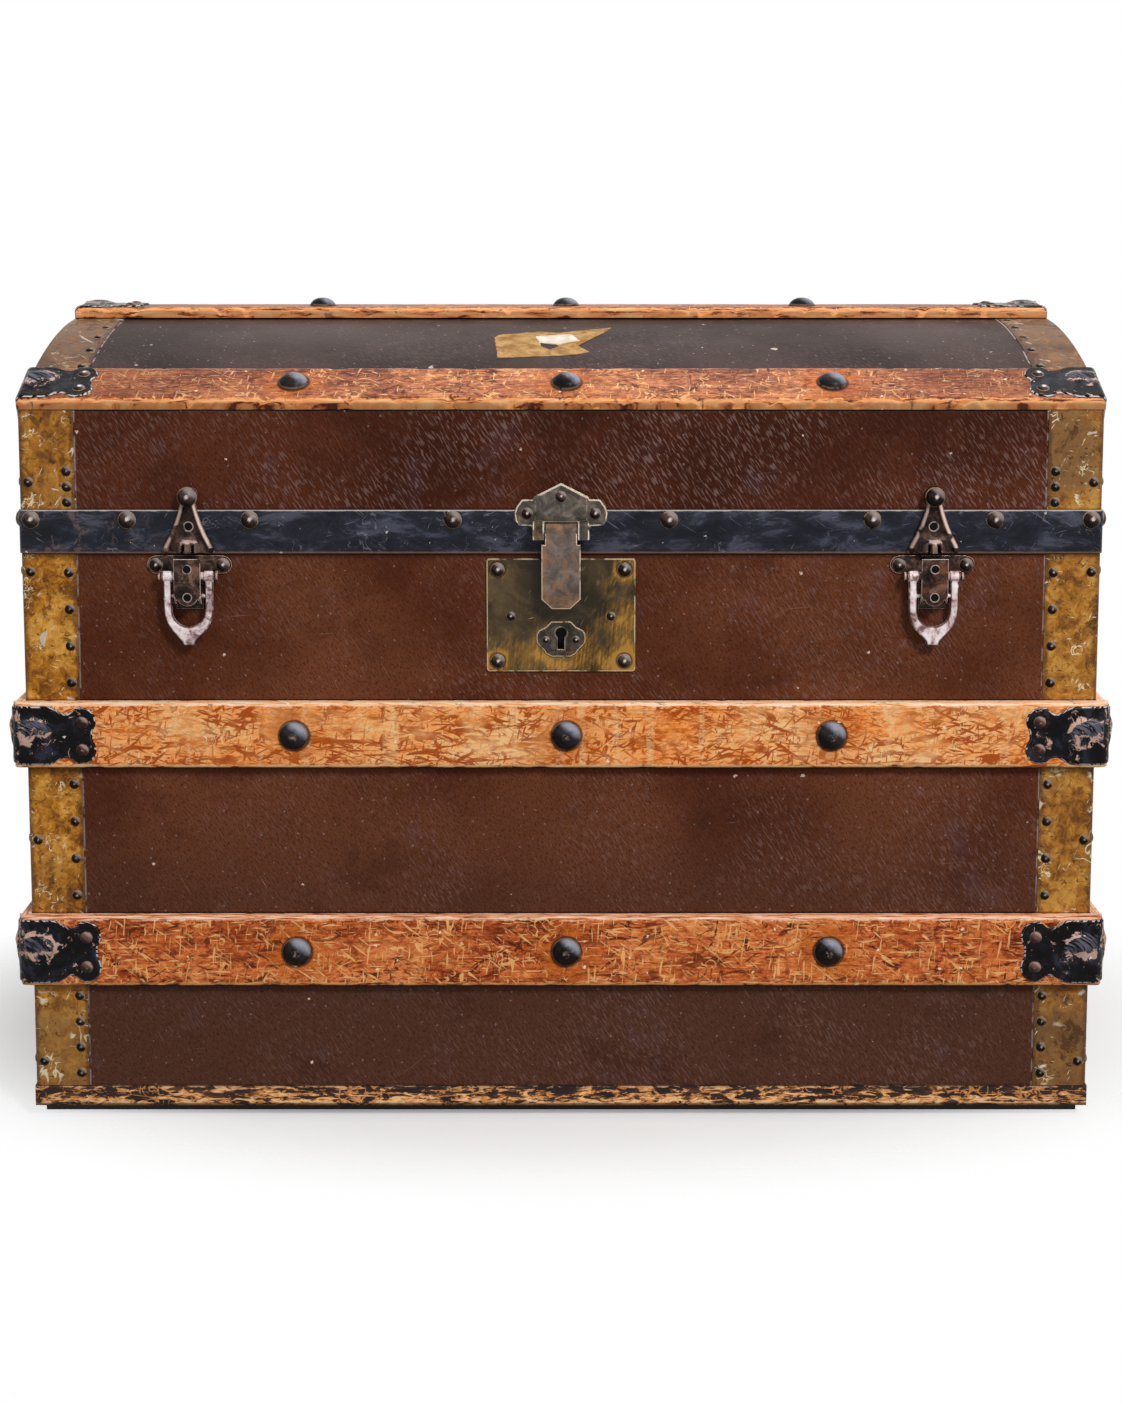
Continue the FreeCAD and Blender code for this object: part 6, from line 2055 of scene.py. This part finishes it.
            # Raised rim round the hole, with a painted highlight streak along its front.
            rim = [Vector((3.3 * MM * math.cos(t), spot * MM + 3.3 * MM * math.sin(t), 13.9 * MM))
                   for t in (math.radians(15 * k) for k in range(25))]
            shapes.append(swept(rim, [0.5 * MM] * len(rim), 8, 1.0, 0.6))
            # Near-black disc in the hole: painted shade.
            plug = [Vector((0.0, spot * MM, z * MM)) for z in (12.7, 13.2)]
            shapes.append(swept(plug, [2.88 * MM] * 2, 20, 1.0, -1.0))
        profile = millimetres([
            (0, 13.6), (0, -14.0), (-4.4, -20.8), (-7.4, -20.8), (-8.2, -9.4), (-2.4, -6.0), (-1.4, 13.6)])
        for x in (-9.25, 9.25):
            flange = pressed([profile], 1.5 * MM, 0.4 * MM)
            turn = Matrix.Translation(((x - 0.75) * MM, 0.0, 14.0 * MM)) @ Matrix.Rotation(math.pi / 2, 4, "Y")
            flange.transform(turn @ Matrix.Diagonal((-1, 1, 1, 1)))
            flange.flip_normals()
            shapes.append(flange)
        return joined(shapes, "strap")

    def lever(self) -> bpy.types.Mesh:
        """Pull lever: hub, U-shaped bail of round stock and its blunt tip, about the axle."""
        depth = 8.0
        outer = millimetres([(18.7, -3.0), (18.7, -24.0), (18.2, -30.0), (16.2, -36.0), (12.4, -42.0), (8.0, -46.6),
                             (5.4, -49.4), (4.3, -53.0)])
        inner = ([(-12.4 * MM, -3.0 * MM), (-12.4 * MM, -24.0 * MM)]
                 + arc((0.0, -26.2 * MM), 12.3 * MM, 180, 360, 18) + [(12.4 * MM, -24.0 * MM), (12.4 * MM, -3.0 * MM)])
        # The bail's rounded edges are marked, and the nickel finish paints them as shade.
        bail = pressed([mirrored(outer) + inner], 4.4 * MM, 1.9 * MM, 4)
        bail.transform(Matrix.Translation((0.0, 0.0, (depth - 2.2) * MM)))
        shapes = [bail]
        for sign in (-1, 1):
            shapes.append(swept([Vector((sign * x * MM, 0.0, depth * MM)) for x in (11.6, 12.2, 18.2, 18.7)],
                                [3.2 * MM, 4.0 * MM, 4.0 * MM, 3.4 * MM], 24))
            shapes.append(swept([Vector((sign * 15.5 * MM, y * MM, depth * MM)) for y in (1.0, -1.5, -5.0)],
                                [3.6 * MM, 3.9 * MM, 3.2 * MM], 20, 0.7))
        shapes.append(swept([Vector((x * MM, 0.0, depth * MM)) for x in (-12.4, 12.4)], [3.1 * MM] * 2, 20))
        shapes.append(swept([Vector((x * MM, -15.0 * MM, depth * MM)) for x in (-13.6, 13.6)], [1.5 * MM] * 2, 16))
        return joined(shapes, "lever")

    def build(self, wardrobe: Wardrobe) -> None:
        """Make both latches."""
        steel, nickel = Steels.LATCH.value.material(), Steels.NICKEL.value.material()
        offset = self.shell.half_width * self.offset_share
        catches = []
        for side, sign in (("left", -1), ("right", 1)):
            mesh = self.catch()
            mesh.transform(self.shell.on_wall("front", sign * offset, self.shell.seam + 1.2 * MM, self.belt_face))
            catches.append(mesh)
            place = self.shell.on_wall("front", sign * offset, self.shell.seam - self.axle_drop, 0.0)
            for name, mesh, finish in (("strap", self.strap(), steel), ("lever", self.lever(), nickel)):
                mesh.transform(place)
                wardrobe.add(f"{side}_latch_{name}", smoothed(mesh), finish, f"{side}_{name}")
        wardrobe.add("flared_latch_catches", smoothed(joined(catches, "catches")), steel, "latch_catches")
        wardrobe.softened("latch_bases", 0.35 * MM, steel)
        wardrobe.softened("latch_axles", 0.35 * MM, steel)


@dataclass
class Handles:
    """Leather end handles with a padded grip and rows of stitches."""

    shell: Shell
    drop: float = 43.0 * MM
    span: float = 170.0 * MM
    depth: float = 9.0 * MM
    height: float = 35.0 * MM
    corner: float = 22.0 * MM

    def route(self) -> list[Vector]:
        """Middle line of the handle from eye to eye, in its own frame."""
        half, r = self.span / 2, self.corner
        left = [(-half, -1.0 * MM)] + arc((r - half, -self.height + r), r, 180, 270, 10)
        right = [(-x, y) for x, y in reversed(left)]
        count = 24
        start, end = left[-1], right[0]
        middle = [(start[0] + (end[0] - start[0]) * k / count, start[1]) for k in range(1, count)]
        return [Vector((x, y, self.depth)) for x, y in left + middle + right]

    def strap(self) -> bpy.types.Mesh:
        """Strap and grip as one tube whose section changes along it."""
        path = self.route()
        verts, marks, faces = [], [], []
        sides = 28
        for index, spot in enumerate(path):
            ahead = (path[min(index + 1, len(path) - 1)] - path[max(index - 1, 0)]).normalized()
            side = ahead.cross(Vector((0.0, 0.0, 1.0))).normalized()
            share = min(1.0, max(0.0, (self.span * 0.31 + 6 * MM - abs(spot.x)) / (12 * MM)))
            grip = share * share * (3 - 2 * share)
            wide = (10.6 - 2.8 * grip) * MM
            deep = (3.2 + 4.6 * grip) * MM
            for step in range(sides):
                turn = 2 * math.pi * step / sides
                power = 0.45 + 0.5 * grip
                c, s = math.cos(turn), math.sin(turn)
                x = math.copysign(abs(c) ** power, c) * wide
                z = math.copysign(abs(s) ** power, s) * deep
                verts.append(spot + side * x + Vector((0.0, 0.0, z)))
                marks.append(abs(c) ** 6)
        for index in range(len(path) - 1):
            for step in range(sides):
                a, b = index * sides + step, index * sides + (step + 1) % sides
                faces.append((a, b, b + sides, a + sides))
        faces.append(tuple(reversed(range(sides))))
        faces.append(tuple(range((len(path) - 1) * sides, len(path) * sides)))
        mesh = bpy.data.meshes.new("handle")
        mesh.from_pydata(verts, [], faces)
        store(mesh, "edge", marks)
        shapes = [mesh]
        for sign in (-1, 1):
            eye = swept([Vector((sign * self.span / 2 + x * MM, 0.0, self.depth)) for x in (-11.6, -10.6, 10.6, 11.6)],
                        [5.2 * MM, 5.9 * MM, 5.9 * MM, 5.2 * MM], 28)
            eye.attributes.remove(eye.attributes["edge"])
            store(eye, "edge", [0.2] * len(eye.vertices))
            shapes.append(eye)
        solid = bmesh.new()
        solid.from_mesh(joined(shapes, "handle"))
        bmesh.ops.recalc_face_normals(solid, faces=solid.faces)
        whole = bpy.data.meshes.new("handle")
        solid.to_mesh(whole)
        solid.free()
        return smoothed(whole, 50.0)

    def stitches(self, tree: HeadTree, form: bpy.types.Object, finish: bpy.types.Material) -> bpy.types.Mesh:
        """Stitches along both edges of the strap."""
        path = self.route()
        spots, axes = [], []
        for index in range(len(path) * 4 - 4):
            low = index // 4
            spot = path[low].lerp(path[low + 1], (index % 4) / 4)
            ahead = (path[low + 1] - path[low]).normalized()
            side = ahead.cross(Vector((0.0, 0.0, 1.0)))
            if abs(spot.x) < self.span * 0.31 + 6 * MM:
                continue
            for sign in (-1, 1):
                spots.append(spot + side * sign * 8.0 * MM + Vector((0.0, 0.0, 3.0 * MM)))
                axes.append((0.0, 0.0, 1.0))
        mesh = bpy.data.meshes.new("seats")
        mesh.from_pydata(spots, [], [])
        mesh.attributes.new("axis", "FLOAT_VECTOR", "POINT").data.foreach_set(
            "vector", np.array(axes, np.float32).ravel())
        store(mesh, "reach", [0.75 * MM] * len(spots))
        store(mesh, "rise", [0.6 * MM] * len(spots))
        return tree.grow(mesh, {"Head": form, "Tilt": 0.2, "Seed": 5, "Material": finish})

    def build(self, wardrobe: Wardrobe) -> None:
        """Make both handles and dress their brackets."""
        leather = LeatherFinish().material()
        thread = SteelFinish(
            "waxed thread", paint(120, 92, 60), paint(166, 134, 92), paint(198, 168, 122), paint(210, 184, 140),
            paint(96, 64, 40), 0.3, 0.8, 0.0).material()
        tree = HeadTree()
        form = bpy.data.objects.new("stitch", HeadForm.NAIL.mesh())
        bpy.context.scene.collection.objects.link(form)
        for side in ("left", "right"):
            place = self.shell.on_wall(side, 0.0, self.shell.seam - self.drop, 0.0)
            mesh = self.strap()
            mesh.transform(place)
            wardrobe.add(f"{side}_leather_handle", mesh, leather, f"{side}_handle")
            rows = self.stitches(tree, form, thread)
            rows.transform(place)
            wardrobe.add(f"{side}_handle_stitches", rows, None, f"{side}_handle", False)
        bpy.data.objects.remove(form)
        iron = Steels.LATCH.value.material()
        wardrobe.softened("handle_brackets", 0.3 * MM, iron)


@dataclass
class Label:
    """Remnant of a torn plain label on the lid's top canvas."""

    shell: Shell
    lift: float = 0.25 * MM

    def sheet(self, outline: Sequence[Point], lift: float) -> bpy.types.Mesh:
        """Thin torn sheet that follows the dome.

        Args:
            outline: its corners in millimetres, as distance along and across the lid.
            lift: height above the canvas.

        Returns:
            The sheet's mesh.
        """
        torn = []
        corners = [Vector((x, y)) for x, y in outline]
        for index, corner in enumerate(corners):
            nxt = corners[(index + 1) % len(corners)]
            pieces = max(2, int((nxt - corner).length / 1.6))
            for step in range(pieces):
                spot = corner.lerp(nxt, step / pieces)
                jag = noise.noise(Vector((spot.x * 0.9, spot.y * 0.9, 3.0))) * 1.1
                torn.append((spot.x + jag, spot.y + jag * 0.7))
        solid = bmesh.new()
        verts = [solid.verts.new((x * MM, y * MM, 0.0)) for x, y in torn]
        bmesh.ops.triangle_fill(solid, edges=[
            solid.edges.new((verts[k], verts[(k + 1) % len(verts)])) for k in range(len(verts))], use_beauty=True)
        for _ in range(2):
            long = [edge for edge in solid.edges if edge.calc_length() > 5 * MM]
            bmesh.ops.subdivide_edges(solid, edges=long, cuts=1)
        made = bmesh.ops.extrude_face_region(solid, geom=list(solid.faces))
        lower = [item for item in made["geom"] if isinstance(item, bmesh.types.BMVert)]
        raised = set(solid.verts) - set(lower)
        for vert in solid.verts:
            angle = math.asin(vert.co.y / self.shell.dome_radius)
            curl = max(0.0, noise.noise(Vector((vert.co.x * 60, vert.co.y * 60, 0)))) * 0.5 * MM
            high = self.shell.dome_radius + (lift + curl if vert in raised else 0.0)
            vert.co = Vector((vert.co.x, high * math.sin(angle), self.shell.dome_centre + high * math.cos(angle)))
        bmesh.ops.recalc_face_normals(solid, faces=solid.faces)
        mesh = bpy.data.meshes.new("label")
        solid.to_mesh(mesh)
        solid.free()
        return smoothed(mesh, 50.0)

    def build(self, wardrobe: Wardrobe) -> None:
        """Make the remnant and the paler patch on it."""
        tan = LabelFinish("tan paper", paint(156, 112, 66), paint(206, 164, 108)).material()
        pale = LabelFinish("pale paper", paint(222, 206, 184), paint(248, 240, 228)).material()
        outline = [
            (-49.7, -97.4), (-17.5, -87.6), (-1.2, -90.9), (41.3, -72.8), (34.5, -90.9), (21.2, -114.8),
            (13.1, -127.6), (22.5, -141.5), (10.6, -147.9), (-24.7, -152.0), (-49.7, -154.1), (-53.5, -106.4)]
        wardrobe.add("paper_remnant", self.sheet(outline, self.lift), tan, "lid_top_canvas", False)
        patch = [(-20.5, -103.5), (8.5, -97.4), (14.8, -114.8), (-2.8, -125.1), (-17.2, -120.1)]
        wardrobe.add("paper_patch", self.sheet(patch, self.lift * 2.4), pale, "lid_top_canvas", False)


@dataclass
class Lining:
    """Paper lining of the body's four walls."""

    gap: float = 0.15 * MM
    thickness: float = 0.3 * MM

    def panel(self, low: Vector, high: Vector) -> bpy.types.Mesh:
        """Slightly wavy sheet between two corners, thin along its smallest side.

        Args:
            low: its lowest corner.
            high: its highest corner.

        Returns:
            The sheet's mesh.
        """
        size = high - low
        thin = min(range(3), key=lambda axis: size[axis])
        wide = [axis for axis in range(3) if axis != thin]
        solid = bmesh.new()
        bmesh.ops.create_grid(solid, x_segments=40, y_segments=24, size=0.5)
        for vert in solid.verts:
            spot = Vector((0.0, 0.0, 0.0))
            spot[wide[0]] = low[wide[0]] + (vert.co.x + 0.5) * size[wide[0]]
            spot[wide[1]] = low[wide[1]] + (vert.co.y + 0.5) * size[wide[1]]
            spot[thin] = low[thin] + size[thin] / 2
            spot[thin] += noise.noise(spot * 22) * 0.12 * MM
            vert.co = spot
        made = bmesh.ops.extrude_face_region(solid, geom=list(solid.faces))
        shift = Vector((0.0, 0.0, 0.0))
        shift[thin] = self.thickness
        for item in made["geom"]:
            if isinstance(item, bmesh.types.BMVert):
                item.co += shift
        bmesh.ops.recalc_face_normals(solid, faces=solid.faces)
        mesh = bpy.data.meshes.new("lining")
        solid.to_mesh(mesh)
        solid.free()
        return smoothed(mesh, 50.0)

    def build(self, wardrobe: Wardrobe) -> None:
        """Line the body's four walls."""
        paper = PaperFinish().material()
        front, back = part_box("front_board")[1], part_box("back_board")[0]
        left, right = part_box("left_end_board")[1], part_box("right_end_board")[0]
        rail_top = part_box("base_rail")[1].z
        lip_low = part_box("closing_lip")[0].z
        t = self.thickness
        g = self.gap
        x0, x1, y0, y1 = left.x + g, right.x - g, front.y + g, back.y - g
        top = lip_low - 1.0 * MM
        back_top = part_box("back_board")[1].z - 2 * MM
        panels = [
            ((x0, y0, rail_top), (x1, y0 + t, top)),
            ((x0, y1 - t, rail_top), (x1, y1, back_top)),
            ((x0, y0, rail_top), (x0 + t, y1, top)),
            ((x1 - t, y0, rail_top), (x1, y1, top)),
        ]
        meshes = [self.panel(Vector(low), Vector(high)) for low, high in panels]
        wardrobe.add("body_lining", smoothed(joined(meshes, "lining"), 50.0), paper, "front_board", False)


class Studio:
    """Pale floor, plain soft lamps, surroundings and the photograph's camera."""

    picture = (1122, 1402)
    sensor = 36.0
    focal_pixels = 2206.0
    principal_row = 450.0
    pitch = math.radians(6.69)
    spot = (0.0, -1.878, 0.7147)
    floor_fade = (0.24, 0.40)
    floor_share = 0.7

    def camera(self) -> None:
        """Camera at the photograph's viewing angle."""
        data = bpy.data.cameras.new("camera")
        data.sensor_width = self.sensor
        data.lens = self.focal_pixels * self.sensor / self.picture[1]
        data.shift_y = (self.principal_row - self.picture[1] / 2) / self.picture[1]
        data.clip_start, data.clip_end = 0.05, 50.0
        camera = bpy.data.objects.new("camera", data)
        camera.location = self.spot
        camera.rotation_euler = (math.pi / 2 - self.pitch, 0.0, 0.0)
        bpy.context.scene.collection.objects.link(camera)
        bpy.context.scene.camera = camera

    def lamp(self, name: str, spot: tuple[float, float, float], size: float, power: float) -> None:
        """Square lamp that faces the trunk.

        Args:
            name: its name.
            spot: where it stands.
            size: length of its side.
            power: its power in watts.
        """
        data = bpy.data.lights.new(name, "AREA")
        data.size, data.energy = size, power
        lamp = bpy.data.objects.new(name, data)
        lamp.location = spot
        lamp.rotation_euler = (Vector((0.0, 0.0, 0.35)) - Vector(spot)).to_track_quat("-Z", "Y").to_euler()
        bpy.context.scene.collection.objects.link(lamp)

    def surroundings(self) -> None:
        """Even light from all sides, seen as white."""
        world = bpy.data.worlds.new("surroundings")
        bpy.context.scene.world = world
        world.use_nodes = True
        graph = Graph(world.node_tree)
        rays = graph.node("ShaderNodeLightPath")
        seen = Term(graph, rays.outputs["Is Camera Ray"]).either(Term(graph, rays.outputs["Is Glossy Ray"]))
        seen = seen.either(Term(graph, rays.outputs["Is Transmission Ray"]))
        soft = graph.out("ShaderNodeBackground", None, {"Color": (1.0, 1.0, 1.0, 1.0), "Strength": 0.22})
        white = graph.out("ShaderNodeBackground", None, {"Color": (1.0, 1.0, 1.0, 1.0), "Strength": 1.0})
        mixed = graph.out("ShaderNodeMixShader", None, {0: seen, 1: soft, 2: white})
        graph.node("ShaderNodeOutputWorld", None, {"Surface": mixed})

    def floor(self) -> None:
        """Pale floor."""
        mesh = bpy.data.meshes.new("floor")
        half = 20.0
        mesh.from_pydata([(-half, -half, 0), (half, -half, 0), (half, half, 0), (-half, half, 0)], [], [(0, 1, 2, 3)])
        shader = Shader("floor")
        grain = shader.noise(shader.place, 3.0, 2.0)
        colour = shader.blend(grain, paint(246, 246, 246), paint(250, 250, 250))
        away = shader.vector("LENGTH", shader.vector("MULTIPLY", shader.place, (0.62, 1.0, 0.0)))
        solid = shader.smooth(away, self.floor_fade[1], self.floor_fade[0]) * self.floor_share
        plain = shader.out("ShaderNodeBsdfDiffuse", None, {"Color": colour})
        clear = shader.out("ShaderNodeBsdfTransparent")
        mixed = shader.out("ShaderNodeMixShader", None, {0: solid, 1: clear, 2: plain})
        shader.node("ShaderNodeOutputMaterial", None, {"Surface": mixed})
        mesh.materials.append(shader.material)
        floor = bpy.data.objects.new("floor", mesh)
        bpy.context.scene.collection.objects.link(floor)

    def build(self) -> None:
        """Set up the whole studio."""
        bpy.context.scene.view_settings.view_transform = "Standard"
        self.camera()
        self.lamp("key", (1.3, -2.3, 2.4), 0.6, 72.0)
        self.lamp("fill", (-2.2, -2.0, 1.5), 2.0, 16.0)
        self.lamp("top", (0.3, 0.4, 3.0), 1.8, 24.0)
        self.surroundings()
        self.floor()


def dress_shell(wardrobe: Wardrobe) -> None:
    """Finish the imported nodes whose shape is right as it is."""
    # Edges of the slats and the belt, with how far painted shade and some dirt reach below and above each.
    ledges = []
    for name in ("front_upper_slat", "front_lower_slat", "lid_belt"):
        low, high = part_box(name)
        ledges += [(low.z, 5.5 * MM, 0.2 * MM), (high.z, 0.2 * MM, 1.8 * MM)]
    body = CanvasFinish(
        "body canvas", paint(82, 39, 20), paint(112, 62, 38), paint(84, 50, 36), paint(44, 16, 7), 0.22, 0.40,
        tuple(ledges)).material()
    lid = CanvasFinish(
        "lid canvas", paint(60, 25, 11), paint(90, 44, 25), paint(78, 44, 28), paint(34, 11, 4), 0.44, 0.14,
        tuple(ledges), hem=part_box("lid_front_slat")[0].z - 0.7 * MM).material()
    top = CanvasFinish(
        "top canvas", paint(44, 30, 26), paint(70, 52, 48), paint(80, 60, 50), paint(28, 17, 14), 0.22, 0.3, (),
        True, 0.8, 0.7).material()
    wardrobe.dress(body, "body_canvas")
    wardrobe.dress(lid, "lid_side_canvas")
    wardrobe.dress(top, "lid_top_canvas")
    brass = BrassFinish(
        "corner brass", paint(108, 60, 12), paint(180, 116, 32), paint(222, 164, 76), paint(120, 86, 54), 0.7,
        tuple(ledges)).material()
    over = BrassFinish(
        "dome brass", paint(78, 46, 24), paint(124, 84, 50), paint(164, 118, 74), paint(100, 72, 52), 0.6,
        scratch=paint(204, 180, 148)).material()
    wardrobe.dress(brass, "body_corner_bands", "lid_corner_bands")
    wardrobe.dress(over, "lid_dome_bands")
    low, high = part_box("lid_belt")
    wardrobe.softened("lid_belt", 0.35 * MM, BeltFinish(high.z, low.z).material())
    wardrobe.dress(RailFinish().material(), "base_rail")
    dark = SteelFinish(
        "runner paint", paint(14, 11, 11), paint(26, 21, 20), paint(46, 36, 32), paint(70, 56, 48),
        paint(70, 44, 28), 0.3, 0.6, 0.0).material()
    wardrobe.dress(dark, "bottom_runners", "lock_case", "lock_bolt")
    wardrobe.dress(
        BoardFinish().material(), "floor_board", "front_board", "back_board", "left_end_board", "right_end_board",
        "closing_lip", "lid_front_board", "lid_back_board", "lid_left_board", "lid_right_board")
    wardrobe.dress(BoardFinish("lid panel board", True).material(), "lid_top_panel")
    iron = Steels.HIDDEN.value.material()
    wardrobe.dress(iron, "hinge_pins", "handle_pins", "hasp_pin")
    wardrobe.softened("hinge_body_leaves", 0.25 * MM, iron)
    wardrobe.softened("hinge_lid_leaves", 0.25 * MM, iron)


def main() -> None:
    """Dress the trunk, piece by piece."""
    logging.basicConfig(level=logging.INFO, format="%(message)s")
    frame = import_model()
    wardrobe = Wardrobe(frame)
    shell = Shell.measured()
    Studio().build()
    dress_shell(wardrobe)
    Slats(shell).build(wardrobe)
    Heads().build(wardrobe)
    Clamps(shell).build(wardrobe)
    Lock(shell).build(wardrobe)
    Hasp(shell).build(wardrobe)
    Latches(shell).build(wardrobe)
    Handles(shell).build(wardrobe)
    Label(shell).build(wardrobe)
    Lining().build(wardrobe)


if __name__ == "__main__":
    main()
